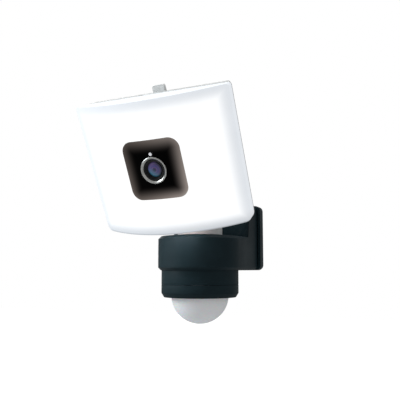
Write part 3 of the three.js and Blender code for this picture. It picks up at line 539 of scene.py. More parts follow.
def opalFinish():
    # the lit front: even in the middle, dimmer towards its edges
    material, tree, shader = newFinish("opalPlastic", Base_Color=srgb(200, 202, 204), Roughness=0.42)
    distance = onFace(tree, "diffuser", 0.006)
    glow = remap(tree, distance.outputs["Inside"], -0.001, 0.017)
    grain = useGroup(tree, mouldGrain, Size=900.0, Patch=35.0)
    cloud = remap(tree, grain.outputs["Tone"], 0.3, 0.7, 0.97, 1.0)
    rimGlow = remap(tree, distance.outputs["Low To High"], -1.0, -0.8, 0.5, 0.66)
    # lip is a painted shade line: the emission is dimmed along the bottom rim where the housing's edge and its
    # shadow show
    lip = remap(tree, distance.outputs["Low To High"], -1.0, -0.972, 0.45, 1.0)
    lamp = math2(tree, "MULTIPLY", remap(tree, glow, 0.0, 1.0, rimGlow, 0.96), lip)
    tree.links.new(math2(tree, "MULTIPLY", lamp, cloud), shader.inputs["Emission Strength"])
    warm = mixColour(tree, glow, srgb(244, 248, 253), srgb(255, 255, 255))
    tree.links.new(warm, shader.inputs["Emission Color"])
    shade = mixColour(tree, glow, srgb(178, 183, 190), srgb(150, 152, 154))
    tree.links.new(shade, shader.inputs["Base Color"])
    bump(tree, shader, grain.outputs["Height"], 0.1, 0.00008)
    return material


def windowFinish():
    # black glass over the camera; a brown-grey glow is painted on its rim as emission, standing in for the lamp's
    # light leaking into it
    material, tree, shader = newFinish(
        "blackWindow", Base_Color=srgb(3, 2, 2), Roughness=0.06, Specular_IOR_Level=0.03)
    distance = onFace(tree, "camera_window", 0.010)
    paintedRimGlow = remap(tree, distance.outputs["Inside"], 0.0145, -0.003)
    paintedRimGlow = math2(tree, "POWER", paintedRimGlow, 1.9)
    # the painted glow is strongest towards the low right corner
    across = remap(tree, distance.outputs["Left To Right"], -1.0, 1.0, 0.55, 1.25)
    upright = remap(tree, distance.outputs["Low To High"], -1.0, 1.0, 1.2, 0.76)
    side = remap(tree, distance.outputs["Left To Right"], -1.0, 1.0)
    tint = mixColour(tree, side, srgb(124, 114, 108), srgb(130, 121, 116))
    tree.links.new(tint, shader.inputs["Emission Color"])
    paintedRimGlow = math2(tree, "MULTIPLY", paintedRimGlow, math2(tree, "MULTIPLY", across, upright))
    tree.links.new(paintedRimGlow, shader.inputs["Emission Strength"])
    grain = useGroup(tree, mouldGrain, Size=300.0, Patch=60.0)
    smear = remap(tree, grain.outputs["Tone"], 0.3, 0.75, 0.04, 0.11)
    tree.links.new(smear, shader.inputs["Roughness"])
    return material


def domeFinish():
    # milky dome: lens cells show faintly through it; a faint painted glow (emission) lifts the whole dome
    material, tree, shader = newFinish(
        "domePlastic", Base_Color=srgb(240, 242, 244), Roughness=0.42,
        Emission_Color=(0.95, 0.97, 1.0, 1), Emission_Strength=0.13,
        Subsurface_Weight=0.25, Subsurface_Scale=0.002)
    centre = addNode(tree, "ShaderNodeMapping")
    low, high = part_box("sensor_dome")
    centre.inputs["Location"].default_value = -Vector(((low.x + high.x) / 2, (low.y + high.y) / 2, high.z))
    tree.links.new(objectPoint(tree), centre.inputs["Vector"])
    cells = addNode(tree, "ShaderNodeTexVoronoi", feature="DISTANCE_TO_EDGE")
    cells.inputs["Scale"].default_value = 105.0
    cells.inputs["Randomness"].default_value = 0.25
    tree.links.new(centre.outputs["Vector"], cells.inputs["Vector"])
    seam = remap(tree, cells.outputs["Distance"], 0.0, 0.05, 1.0, 0.0)
    seam = math2(tree, "MULTIPLY", seam, 0.22)
    grain = useGroup(tree, mouldGrain, Size=1800.0, Patch=40.0)
    tone = remap(tree, grain.outputs["Tone"], 0.3, 0.7)
    body = mixColour(tree, tone, srgb(242, 244, 246), srgb(236, 239, 242))
    body = mixColour(tree, seam, body, srgb(214, 219, 224))
    tree.links.new(body, shader.inputs["Base Color"])
    bump(tree, shader, grain.outputs["Height"], 0.12, 0.00008)
    return material


def metalFinish(name, colour, rough, lines=900.0, strength=0.15):
    # turned or drawn metal with fine lines round its axis
    material, tree, shader = newFinish(name, Base_Color=colour, Metallic=1.0, Roughness=rough)
    stretch = addNode(tree, "ShaderNodeMapping")
    stretch.inputs["Scale"].default_value = (0.15, 1.0, 1.0)
    tree.links.new(objectPoint(tree), stretch.inputs["Vector"])
    scratches = noise(tree, stretch.outputs["Vector"], lines, 4.0, 0.6)
    tree.links.new(remap(tree, scratches, 0.3, 0.7, rough - 0.06, rough + 0.1), shader.inputs["Roughness"])
    darker = tuple(value * 0.78 for value in colour[:3]) + (1,)
    patch = remap(tree, scratches, 0.35, 0.7)
    tree.links.new(mixColour(tree, patch, colour, darker), shader.inputs["Base Color"])
    bump(tree, shader, scratches, strength, 0.00003)
    return material


def boardFinish(name, mask, copper, silk):
    # lacquered board: tracks under the mask, and bare pads here and there
    material, tree, shader = newFinish(name, Base_Color=mask, Roughness=0.35, Coat_Weight=0.3)
    point = objectPoint(tree)
    tracks = addNode(tree, "ShaderNodeTexBrick", offset=0.5)
    tracks.inputs["Scale"].default_value = 160.0
    tracks.inputs["Mortar Size"].default_value = 0.035
    tracks.inputs["Color1"].default_value = (0, 0, 0, 1)
    tracks.inputs["Color2"].default_value = (0, 0, 0, 1)
    tracks.inputs["Mortar"].default_value = (1, 1, 1, 1)
    tree.links.new(point, tracks.inputs["Vector"])
    pads = addNode(tree, "ShaderNodeTexVoronoi")
    pads.inputs["Scale"].default_value = 260.0
    tree.links.new(point, pads.inputs["Vector"])
    pad = remap(tree, pads.outputs["Distance"], 0.16, 0.12)
    body = mixColour(tree, math2(tree, "MULTIPLY", tracks.outputs["Color"], 0.5), mask, copper)
    body = mixColour(tree, math2(tree, "MULTIPLY", pad, 0.8), body, silk)
    tree.links.new(body, shader.inputs["Base Color"])
    bump(tree, shader, tracks.outputs["Color"], 0.2, 0.00005)
    return material


def glassFinish():
    # front element: black below, with purple and blue rings painted on as coating reflections
    material, tree, shader = newFinish(
        "coatedGlass", Base_Color=srgb(16, 20, 44), Roughness=0.04, Coat_Weight=1.0, Coat_Roughness=0.02)
    across, up = headAxes(tree)
    low, high = ownBox("lens_front_glass", headPlace)
    rise = math2(tree, "SUBTRACT", up, (low.z + high.z) / 2 * mm)
    away = math2(tree, "DIVIDE", lengthOf(tree, rise, across), high.x * mm)
    reflectionRings = addNode(tree, "ShaderNodeValToRGB")
    stops = [(0.0, srgb(12, 14, 36)), (0.2, srgb(22, 28, 66)), (0.34, srgb(84, 58, 110)),
             (0.5, srgb(44, 52, 104)), (0.68, srgb(70, 56, 104)), (0.86, srgb(30, 34, 60)),
             (1.0, srgb(8, 8, 14))]
    while len(reflectionRings.color_ramp.elements) < len(stops):
        reflectionRings.color_ramp.elements.new(0.5)
    for element, (place, colour) in zip(reflectionRings.color_ramp.elements, stops):
        element.position = place
        element.color = colour
    tree.links.new(away, reflectionRings.inputs[0])
    # painted reflections: teal towards the lower left, purple towards the top right
    lean = math2(tree, "SUBTRACT", rise, across)
    tealReflection = remap(tree, math2(tree, "ADD", rise, across), 0.002, -0.008)
    body = mixColour(tree, math2(tree, "MULTIPLY", tealReflection, 0.8), reflectionRings.outputs[0], srgb(40, 104, 128))
    paintedGlint = remap(tree, lean, 0.001, 0.009, 0.0, 0.5)
    body = mixColour(tree, paintedGlint, body, srgb(112, 92, 150))
    tree.links.new(body, shader.inputs["Base Color"])
    # the painted reflections also glow as emission: painted light on the lens
    tree.links.new(body, shader.inputs["Emission Color"])
    shader.inputs["Emission Strength"].default_value = 0.4
    return material


def ferriteFinish():
    return mouldedPlastic(
        "ferrite", srgb(62, 58, 54), srgb(80, 62, 40), srgb(110, 104, 96),
        rough=0.6, grain=1200.0, strength=0.4, wearAndHighlight=0.3, dust=0.1)


def pipeFinish():
    # the clear indicator, faintly lit from behind
    material, tree, shader = newFinish(
        "pipeGlow", Base_Color=srgb(235, 236, 238), Roughness=0.25,
        Emission_Color=srgb(240, 240, 245), Emission_Strength=0.35)
    grain = useGroup(tree, mouldGrain, Size=1500.0, Patch=200.0)
    bump(tree, shader, grain.outputs["Height"], 0.1, 0.00005)
    return material


finishes = {
    "anthracite_plastic": anthraciteFinish(),
    "white_plastic": whiteFinish(),
    "opal_plastic": opalFinish(),
    "dome_plastic": domeFinish(),
    "black_window": windowFinish(),
    "black_plastic": blackFinish(),
    "rubber": rubberFinish("rubber", srgb(27, 34, 38), srgb(33, 40, 44)),
    "grey_rubber": rubberFinish("greyRubber", srgb(240, 241, 241), srgb(234, 236, 236)),
    "silver_ring": metalFinish("silverRing", srgb(222, 222, 218), 0.28, 1400.0, 0.08),
    "steel": metalFinish("steel", srgb(168, 170, 172), 0.34),
    "aluminium": metalFinish("aluminium", srgb(196, 198, 200), 0.42, 600.0),
    "white_board": boardFinish("whiteBoard", srgb(232, 233, 228), srgb(214, 214, 206), srgb(196, 186, 150)),
    "circuit_board": boardFinish("circuitBoard", srgb(26, 86, 52), srgb(44, 112, 66), srgb(188, 170, 110)),
    "coated_glass": glassFinish(),
    "copper": metalFinish("copper", srgb(196, 130, 84), 0.36, 700.0),
    "ferrite": ferriteFinish(),
}
print("finishes ready")


def finish(piece, slotName, nodes=(), place=headPlace):
    seat(piece, place)
    return enter(piece, finishes[slotName], nodes)


# the camera and the studio
studio = {"stand": (0.2285, -0.6552, -0.035), "lift": 6.77, "lens": 51.9, "floor": -0.6, "floorSize": 12,
          "ambient": 0.34, "aim": (0, -0.12, 0)}
lamps = {
    "key": {"place": (-0.95, -0.6, 0.45), "watts": 9.0, "size": 0.6, "colour": (0.90, 0.97, 1.0)},
    "fill": {"place": (0.9, -0.7, 0.1), "watts": 0.2, "size": 0.8, "colour": (1.0, 1.0, 1.0)},
    "top": {"place": (0.0, -0.15, 1.1), "watts": 4.0, "size": 0.9, "colour": (1.0, 1.0, 1.0)},
    "back": {"place": (-0.55, 1.1, 0.4), "watts": 4.0, "size": 0.9, "colour": (1.0, 1.0, 1.0)},
}
spill = {"out": 0.058, "left": 0.016, "up": 0.004, "wide": 0.07, "tall": 0.008, "watts": 0.03,
         "colour": (1.0, 0.80, 0.78), "aim": (0, 0.3, -1)}


def setCamera():
    stand = Vector(studio["stand"])
    turn = math.atan2(stand.x - panPoint.x, panPoint.y - stand.y)
    bpy.ops.object.select_all(action="DESELECT")
    bpy.ops.object.camera_add(location=stand, rotation=(math.radians(90 + studio["lift"]), 0, turn))
    camera = bpy.context.active_object
    camera.data.lens = studio["lens"]
    bpy.context.scene.camera = camera


def setWorld():
    world = bpy.data.worlds.new("studio")
    bpy.context.scene.world = world
    world.use_nodes = True
    tree = world.node_tree
    background = tree.nodes["Background"]
    path = addNode(tree, "ShaderNodeLightPath")
    seen = addNode(tree, "ShaderNodeMapRange")
    seen.inputs["To Min"].default_value = studio["ambient"]
    seen.inputs["To Max"].default_value = 1.0
    tree.links.new(path.outputs["Is Camera Ray"], seen.inputs["Value"])
    tree.links.new(seen.outputs["Result"], background.inputs["Strength"])
    background.inputs["Color"].default_value = (1, 1, 1, 1)


def addLamp(name, place, aim, watts, colour):
    bpy.ops.object.light_add(type="AREA", location=place)
    lamp = bpy.context.active_object
    lamp.name = name
    lamp.data.energy = watts
    lamp.data.color = colour
    lamp.rotation_euler = aim.to_track_quat("-Z", "Y").to_euler()
    return lamp


def setLamps():
    for name, lamp in lamps.items():
        aim = Vector(studio["aim"]) - Vector(lamp["place"])
        addLamp(name, lamp["place"], aim, lamp["watts"], lamp["colour"]).data.size = lamp["size"]
    # light that the front throws on the base just under it
    place = (panPoint.x - spill["left"], panPoint.y - spill["out"], spill["up"])
    glow = addLamp("spill", place, Vector(spill["aim"]), spill["watts"], spill["colour"])
    glow.visible_camera = False
    glow.data.shape = "RECTANGLE"
    glow.data.size = spill["wide"]
    glow.data.size_y = spill["tall"]


def setFloor():
    bpy.ops.mesh.primitive_plane_add(size=studio["floorSize"], location=(0, 0, studio["floor"]))
    floor = named("studio_floor")
    pale, tree, shader = newFinish("paleFloor", Base_Color=(0.55, 0.55, 0.55, 1), Roughness=0.9)
    shader.inputs["Emission Color"].default_value = (1, 1, 1, 1)
    path = addNode(tree, "ShaderNodeLightPath")
    tree.links.new(path.outputs["Is Camera Ray"], shader.inputs["Emission Strength"])
    floor.data.materials.append(pale)


bpy.context.scene.view_settings.view_transform = "Standard"
setCamera()
setWorld()
setLamps()
setFloor()
print("studio ready")


# head: the lit front and the camera in its middle
front = {"rim": 8, "wall": 2.4, "lean": 1, "lowCorner": 6, "topCorner": 3, "edge": 0.9, "facets": 720}
window = {"corner": 10, "around": 0.6, "sunk": 0.4, "thick": 2.6, "gap": 0.3, "edge": 0.5}


def frontOutline(inset, steps=12):
    low, high = ownBox("diffuser", headPlace)
    corners = [max(radius - inset, 1) for radius in (front["lowCorner"],) * 2 + (front["topCorner"],) * 2]
    edge = frameOutline(
        (low.x + inset, low.z + inset), (high.x - inset, high.z - inset), corners, steps)
    span = high.z - low.z
    lean = front["lean"] / high.x  # the foot is a little narrower than the top
    return [(x * (1 - lean * (high.z - z) / span), z) for x, z in edge]


def curvedFace(name, radius):
    low, high = ownBox("diffuser", headPlace)
    bulge = high.y - front["rim"] - low.y
    full = (high.x ** 2 + bulge ** 2) / (2 * bulge)
    axisY = low.y + full
    return rodPiece(name, radius(full), (0, axisY, low.z - 8), (0, axisY, high.z + 8), front["facets"])


def windowBlock(name, grow, y, push):
    low, high = ownBox("camera_window", headPlace)
    corner = window["corner"] + grow
    points = frameOutline((low.x - grow, low.z - grow), (high.x + grow, high.z + grow), [corner] * 4, 14)
    return outlinePiece(name, level(points, y), (0, push, 0))


def makeDiffuser():
    low, high = ownBox("diffuser", headPlace)
    shell = outlinePiece("diffuser_skin", level(frontOutline(0), high.y), (0, low.y - high.y - 4, 0))
    carve(shell, curvedFace("cutter", lambda full: full), how="INTERSECT")
    pickFaces(shell, lambda middle, normal: normal.y > 0.99 and middle.y > high.y - 0.01)
    bpy.ops.mesh.delete(type="FACE")
    endEdit()
    thicken(shell, front["wall"])
    carve(shell, windowBlock("cutter", window["around"], high.y, low.y - high.y - 10))
    soften(shell, front["edge"], 4, 25)
    finish(shell, "opal_plastic")


def makeWindow():
    low, high = ownBox("camera_window", headPlace)
    dotLow, dotHigh = ownBox("light_pipe", headPlace)
    ringRadius = ownBox("lens_ring", headPlace)[1].x
    sunk = window["sunk"]
    glass = windowBlock("camera_window_skin", 0, high.y + 4, low.y - high.y - 8)
    carve(glass, curvedFace("cutter", lambda full: full - sunk), how="INTERSECT")
    carve(glass, curvedFace("cutter", lambda full: full - sunk - window["thick"]))
    holes = [(ringRadius, (low.z + high.z) / 2, 128), (dotTip["radius"], (dotLow.z + dotHigh.z) / 2, 48)]
    for radius, z, steps in holes:
        carve(glass, rodPiece("cutter", radius + window["gap"], (0, -40, z), (0, -80, z), steps))
    soften(glass, window["edge"], 3, 30)
    finish(glass, "black_window")


def facingFront(piece, low, high):
    # a turned piece is laid forward, level with the middle of its node
    return seat(piece, Matrix.Translation((0, 0, (low.z + high.z) / 2)) @ toFront)


lensRing = {"inner": 10.4, "round": 0.7, "land": 0.5, "chamfer": 1.2, "lip": 0.15, "edge": 0.12}


def makeLensRing():
    low, high = ownBox("lens_ring", headPlace)
    outer, tip, tail = high.x, -low.y, -high.y
    inner, rounding, lip = lensRing["inner"], lensRing["round"], lensRing["lip"]
    throat = tip - lensRing["chamfer"]
    profile = [(inner, tail), (outer, tail)]
    profile += arc((outer - rounding, tip - rounding), rounding, 0, 90, 6)
    profile += [(outer - rounding - lensRing["land"], tip), (inner + lip, throat + lip), (inner, throat)]
    ringPiece = turnedPiece("lens_ring_skin", profile, 160, closed=True)
    facingFront(ringPiece, low, high)
    soften(ringPiece, lensRing["edge"], 2, 20)
    finish(ringPiece, "silver_ring")


barrel = {"mouth": 9.2, "throat": 7.3, "baffles": 4, "cone": 2.8, "step": 11, "back": 8.5, "wall": 10,
          "bore": 4.4, "edge": 0.3, "ledge": 0.25, "bite": 0.15, "glassDeep": 3.6}


def makeBarrel():
    low, high = ownBox("lens_barrel", headPlace)
    tip, tail = -low.y, -high.y
    wall, edge, shoulder = barrel["wall"], barrel["edge"], tip - barrel["step"]
    seatAt = tip - barrel["cone"]
    glassBack = seatAt - barrel["glassDeep"]
    profile = [(barrel["bore"], tail), (barrel["back"], tail), (barrel["back"], shoulder), (wall, shoulder),
               (wall, tip - edge), (wall - edge, tip)]
    # the mouth goes in by steps that stop stray light
    count = barrel["baffles"]
    for i in range(count):
        share, after = i / count, (i + 1) / count
        radius = barrel["mouth"] + (barrel["throat"] - barrel["mouth"]) * share
        depth = tip - barrel["cone"] * share
        deeper = tip - barrel["cone"] * after
        profile += [(radius, depth), (radius, deeper + barrel["ledge"]), (radius - barrel["bite"], deeper)]
    profile += [(barrel["throat"], seatAt - 0.05), (barrel["throat"], glassBack), (barrel["bore"], glassBack)]
    tube = turnedPiece("lens_barrel_skin", profile, 128, closed=True)
    facingFront(tube, low, high)
    smooth(tube, 30)
    finish(tube, "black_plastic")


frontGlass = {"crown": 1.8, "edge": 0.2, "steps": 14}


def makeFrontGlass():
    low, high = ownBox("lens_front_glass", headPlace)
    tip, tail, radius = -low.y, -high.y, high.x
    crown, edge, steps = frontGlass["crown"], frontGlass["edge"], frontGlass["steps"]
    profile = [(0, tail), (radius - edge, tail), (radius, tail + edge), (radius, tip - crown)]
    for i in range(1, steps):
        turn = math.radians(90 * i / steps)
        profile.append((radius * math.cos(turn), tip - crown + crown * math.sin(turn)))
    profile.append((0, tip))
    element = turnedPiece("lens_front_glass_skin", profile, 96)
    facingFront(element, low, high)
    smooth(element, 40)
    finish(element, "coated_glass")


dotTip = {"radius": 1.6, "flange": 2.08, "round": 0.5, "shoulder": 6, "stem": 5}


def makeLightPipe():
    low, high = ownBox("light_pipe", headPlace)
    tip, tail, radius = -low.y, -high.y, dotTip["radius"]
    flange, rounding = dotTip["flange"], dotTip["round"]
    profile = [(0, tail), (flange, tail), (flange, tip - dotTip["shoulder"]), (radius, tip - dotTip["stem"])]
    profile += arc((radius - rounding, tip - rounding), rounding, 0, 80, 6) + [(0, tip)]
    pipe = turnedPiece("light_pipe_skin", profile, 48)
    facingFront(pipe, low, high)
    smooth(pipe, 40)
    seat(pipe, headPlace)
    enter(pipe, pipeFinish())


makeDiffuser()
makeWindow()
makeLensRing()
makeBarrel()
makeFrontGlass()
makeLightPipe()
print("front and camera ready")


# head: the housing behind it
rear = {"back": -15, "draft": 7.5, "rise": 1, "edge": 0.45, "straight": 0.6, "round": 2.8, "leastRound": 0.8,
        "wall": 2.6, "floor": 2.6, "soft": 0.3, "post": 59, "postLow": -2, "postHigh": 90.1, "screwHole": 3.1,
        "screwDeep": 1.6, "shaft": 2.0}
speakerSlots = {"x": -38, "z": 81.1, "radius": 11, "count": 5, "pitch": 4, "height": 1.6}
microphoneHole = {"x": 40, "y": -26.7, "radius": 0.8, "low": -25, "high": -10}
wireHole = {"width": 14, "height": 8, "z": 19, "corner": 3}
hinge = {"inner": 18.2, "outer": 27.2, "radius": 11, "pocket": 4, "pocketRadius": 8, "bore": 3.5, "root": 0.4,
         "gusset": 3}
hatch = {"half": 17, "front": -29.4, "back": -19.4, "low": 105.1, "top": 106.8, "tabHalf": 6, "tabTop": 113.2,
         "boss": 99.6, "bossTop": 106.6, "bossWall": 2, "gap": 0.3, "slotY": -24.4, "slotHalf": 6.2,
         "slotThick": 1.1, "pressX": 11.5, "pressHole": 2.2, "cutLow": 90, "cutHigh": 115}


def housingBulk(name, inset, frontY, backY):
    # the head's body, drawn in at the sides and under it towards the back
    outline = frontOutline(rear["edge"] + inset)
    bulk = outlinePiece(name, level(outline, frontY), (0, rear["straight"], 0))
    pickFaces(bulk, lambda middle, normal: middle.y > frontY + rear["straight"] - 0.01)
    bpy.ops.mesh.extrude_region_move(
        TRANSFORM_OT_translate={"value": (0, backY - frontY - rear["straight"], 0)})
    faceLow, faceHigh = ownBox("diffuser", headPlace)
    width = 2 * (faceHigh.x - rear["edge"] - inset)
    height = faceHigh.z - faceLow.z - 2 * (rear["edge"] + inset)
    middle = (faceHigh.z + faceLow.z) / 2
    bpy.ops.transform.resize(
        value=(1 - 2 * rear["draft"] / width, 1, 1 - (rear["draft"] / 2 + rear["rise"]) / height),
        center_override=(0, backY, middle))
    bpy.ops.transform.translate(value=(0, 0, (rear["draft"] / 2 - rear["rise"]) / 2))
    endEdit()
    pickEdges(bulk, lambda a, b: a.y > backY - 0.01 and b.y > backY - 0.01)
    bpy.ops.mesh.bevel(offset=max(rear["round"] - inset, rear["leastRound"]), segments=6, affect="EDGES")
    endEdit()
    return bulk


def slotCutter(x, z, halfLong, halfTall, corner, start, push, steps=6):
    points = frameOutline((x - halfLong, z - halfTall), (x + halfLong, z + halfTall), [corner] * 4, steps)
    return outlinePiece("cutter", level(points, start), (0, push, 0))


def hatchCutters():
    # the recess for the flap and its tab, the card slot, and the hole over the reset button
    gap, low, high, floor = hatch["gap"], hatch["cutLow"], hatch["cutHigh"], hatch["low"] - hatch["gap"]
    half, tabHalf, slotHalf = hatch["half"] + gap, hatch["tabHalf"] + gap, hatch["slotHalf"]
    y, thick, pressX = hatch["slotY"], hatch["slotThick"], hatch["pressX"]
    return [
        boxPiece("cutter", (-half, hatch["front"] - gap, floor), (half, hatch["back"] + gap, high)),
        boxPiece("cutter", (-tabHalf, hatch["back"] - 1, floor), (tabHalf, rear["back"] + 1, high)),
        boxPiece("cutter", (-slotHalf, y - thick, low), (slotHalf, y + thick, high)),
        rodPiece("cutter", hatch["pressHole"], (pressX, y, low), (pressX, y, high), 40),
    ]


def housingCutters(inside):
    backY = rear["back"]
    cutters = hatchCutters()
    x, y = microphoneHole["x"], microphoneHole["y"]
    start, end = (x, y, microphoneHole["low"]), (x, y, microphoneHole["high"])
    cutters.append(rodPiece("cutter", microphoneHole["radius"], start, end, 24))
    for x in (-rear["post"], rear["post"]):
        for z in (rear["postLow"], rear["postHigh"]):
            sunk, end = (x, backY - rear["screwDeep"], z), (x, backY + 1, z)
            cutters.append(rodPiece("cutter", rear["shaft"], (x, inside - 3, z), end, 32))
            cutters.append(rodPiece("cutter", rear["screwHole"], sunk, end, 48))
    radius = speakerSlots["height"] / 2
    for i in range(speakerSlots["count"]):
        rise = (i - (speakerSlots["count"] - 1) / 2) * speakerSlots["pitch"]
        half = math.sqrt(speakerSlots["radius"] ** 2 - rise ** 2)
        z = speakerSlots["z"] + rise
        cutters.append(slotCutter(speakerSlots["x"], z, half, radius, radius * 0.98, inside - 3, 8))
    half, tall = wireHole["width"] / 2, wireHole["height"] / 2
    cutters.append(slotCutter(0, wireHole["z"], half, tall, wireHole["corner"], inside - 3, 8))
    return cutters


def makeHousing():
    frontY, backY = ownBox("head_housing", headPlace)[0].y, rear["back"]
    inside = backY - rear["floor"]
    shell = housingBulk("head_housing_skin", 0, frontY, backY)
    carve(shell, housingBulk("cutter", rear["wall"], frontY - 1, inside))
    half = hatch["half"] + hatch["bossWall"]
    unite(shell, boxPiece(
        "boss", (-half, hatch["front"] - 1, hatch["boss"]), (half, inside + 0.5, hatch["bossTop"])))
    for side in (-1, 1):
        lug = hingeLug(side, inside)
        seat(lug, Matrix.Rotation(-headRoll, 4, "Y"))
        unite(shell, lug)
    carve(shell, *housingCutters(inside))
    soften(shell, rear["soft"], 2, 30)
    finish(shell, "white_plastic")


def hingeLug(side, inside):
    radius = hinge["radius"]
    root = inside - hinge["root"]
    points = [(root, -radius)] + arc((0, 0), radius, -90, 90, 24) + [(root, radius + hinge["gusset"])]
    left = hinge["inner"] if side > 0 else -hinge["outer"]
    width = hinge["outer"] - hinge["inner"]
    lug = outlinePiece("lug", [(left, y, z) for y, z in points], (width, 0, 0))
    outer = side * hinge["outer"]
    pocket = outer - side * hinge["pocket"]
    carve(lug, rodPiece("cutter", hinge["bore"], (side * 15, 0, 0), (side * 30, 0, 0), 40))
    carve(lug, rodPiece("cutter", hinge["pocketRadius"], (pocket, 0, 0), (outer + side, 0, 0), 64))
    return lug


gasket = {"outside": 0.9, "inside": 3.5}


def makeGasket():
    low, high = ownBox("diffuser_gasket", headPlace)
    thick = high.y - low.y
    band = outlinePiece("diffuser_gasket_skin", level(frontOutline(gasket["outside"]), low.y), (0, thick, 0))
    carve(band, outlinePiece("cutter", level(frontOutline(gasket["inside"]), low.y - 1), (0, thick + 2, 0)))
    smooth(band)
    finish(band, "rubber")


# screws: a pan head with a domed top and a six-lobed drive, pointing up
screw = {"crown": 0.45, "point": 0.8, "drive": 0.52, "driveDeep": 0.6, "lobe": 0.16, "steps": 48}
headScrew = {"radius": 1.5, "length": 10.4, "headRadius": 2.8, "headTall": 1.3}
baseScrew = {"radius": 1.6, "length": 9, "headRadius": 2.9, "headTall": 1.3}


def screwWithRecess(size):
    radius, length, wide, tall = size["radius"], size["length"], size["headRadius"], size["headTall"]
    crown, steps = screw["crown"], screw["steps"]
    profile = [(0, -length), (radius * 0.6, -length), (radius, -length + screw["point"]), (radius, -tall),
               (wide, -tall)]
    profile += arc((wide - crown, -crown), crown, 0, 80, 5) + [(0, 0)]
    body = turnedPiece("screw", profile, steps)
    star = []
    for i in range(steps):
        turn = 2 * math.pi * i / steps
        away = wide * screw["drive"] * (1 - screw["lobe"] + screw["lobe"] * math.cos(6 * turn))
        star.append((away * math.cos(turn), away * math.sin(turn), 1))
    carve(body, outlinePiece("cutter", star, (0, 0, -1 - tall * screw["driveDeep"])))
    smooth(body, 32)
    return body


def copyOf(piece, name):
    wake(piece)
    bpy.ops.object.duplicate()
    copy = bpy.context.active_object
    copy.name = name
    copy.data.name = name
    return copy


def setScrews(names, size, place, spotOf):
    # one screw is made, and a copy of it goes to each node's spot
    model = screwWithRecess(size)
    for name in names:
        low, high = ownBox(name, place)
        one = copyOf(model, name + "_skin")
        seat(one, spotOf((low + high) / 2, low, high))
        finish(one, "steel", place=place)
    bpy.data.objects.remove(model)


def makeHeadScrews():
    toBack = Matrix.Rotation(math.radians(-90), 4, "X")
    names = [f"head_screw_{i}" for i in range(1, 5)]
    setScrews(names, headScrew, headPlace, lambda middle, low, high:
              Matrix.Translation((middle.x, high.y, middle.z)) @ toBack)


flap = {"corner": 1.2, "tabFoot": 0.3, "tabRound": 2, "soft": 0.3, "ribs": 3, "ribStart": 2.6,
        "ribPitch": 1.3, "ribTall": 0.55, "ribIn": 1.6, "ribDeep": 0.7}


def makeFlap():
    lid = boxPiece("card_flap_skin", (-hatch["half"], hatch["front"], hatch["low"]),
                   (hatch["half"], hatch["back"], hatch["top"]))
    pickEdges(lid, lambda a, b: near(a.x, b.x) and near(a.y, b.y))
    bpy.ops.mesh.bevel(offset=flap["corner"], segments=4, affect="EDGES")
    endEdit()
    corners = [flap["tabFoot"]] * 2 + [flap["tabRound"]] * 2
    points = frameOutline((-hatch["tabHalf"], hatch["low"]), (hatch["tabHalf"], hatch["tabTop"]), corners, 8)
    start, end = hatch["back"] - 1, rear["back"] - hatch["gap"]
    unite(lid, outlinePiece("tab", level(points, start), (0, end - start, 0)))
    # ribs that a finger nail catches on
    half, y = hatch["tabHalf"] - flap["ribIn"], rear["back"] - flap["ribDeep"]
    for i in range(flap["ribs"]):
        z = hatch["top"] + flap["ribStart"] + flap["ribPitch"] * i
        carve(lid, boxPiece("cutter", (-half, y, z), (half, rear["back"] + 1, z + flap["ribTall"])))
    soften(lid, flap["soft"], 3, 30)
    finish(lid, "grey_rubber")


button = {"round": 0.6, "dishOut": 0.8, "dish": 0.25}


def makeButton():
    low, high = ownBox("reset_button", headPlace)
    middle = (low + high) / 2
    radius, tall, rounding = high.x - middle.x, high.z - low.z, button["round"]
    profile = [(0, 0), (radius, 0)] + arc((radius - rounding, tall - rounding), rounding, 0, 85, 6)
    profile += [(button["dishOut"], tall), (0, tall - button["dish"])]
    cap = turnedPiece("reset_button_skin", profile, 48)
    seat(cap, Matrix.Translation((middle.x, middle.y, low.z)))
    smooth(cap, 40)
    finish(cap, "white_plastic")


tiltCap = {"round": 0.8, "rim": 2.2, "dishOut": 2.6, "dish": 0.35}


def makeTiltCaps():
    for side, name in ((-1, "tilt_cap_left"), (1, "tilt_cap_right")):
        low, high = ownBox(name, hingePlace)
        radius, thick, rounding = high.z, high.x - low.x, tiltCap["round"]
        sunk = thick - tiltCap["dish"]
        profile = [(0, 0), (radius, 0)] + arc((radius - rounding, thick - rounding), rounding, 0, 90, 6)
        profile += [(radius - tiltCap["rim"], thick), (radius - tiltCap["dishOut"], sunk), (0, sunk)]
        cap = turnedPiece(name + "_skin", profile, 96)
        inner = low.x if side > 0 else high.x
        seat(cap, Matrix.Translation((inner, 0, 0)) @ Matrix.Rotation(math.radians(90 * side), 4, "Y"))
        smooth(cap, 40)
        finish(cap, "white_plastic", place=hingePlace)


makeHousing()
makeGasket()
makeHeadScrews()
makeFlap()
makeButton()
makeTiltCaps()
print("head ready")


# neck: turret, arm, cover and the hinge hardware
arm = {"bevel": 0.7, "turretRound": 2.5, "turretOut": 24, "turretTall": 9, "turretEdge": 0.3, "bore": 8,
       "hub": 12.5, "boltHole": 3.5, "slim": 0.4, "channelHalf": 7, "floor": 5, "rootHalf": 14, "rootTall": 8,
       "sink": 2, "coverLap": 3, "coverDepth": 2.2, "coverEdge": 0.45, "gap": 0.3}


def armFrame():
    # the arm's line in y and z, from the pan axis (y 0) up to the tilt axis
    reach = (panPoint.y - tiltPoint.y) / mm
    eye = Vector((-reach, tiltPoint.z / mm))
    turretTop = arm["turretLow"] + arm["turretTall"]
    direction = Vector((-reach, eye.y - turretTop)).normalized()
    return eye, turretTop, direction, Vector((direction.y, -direction.x))


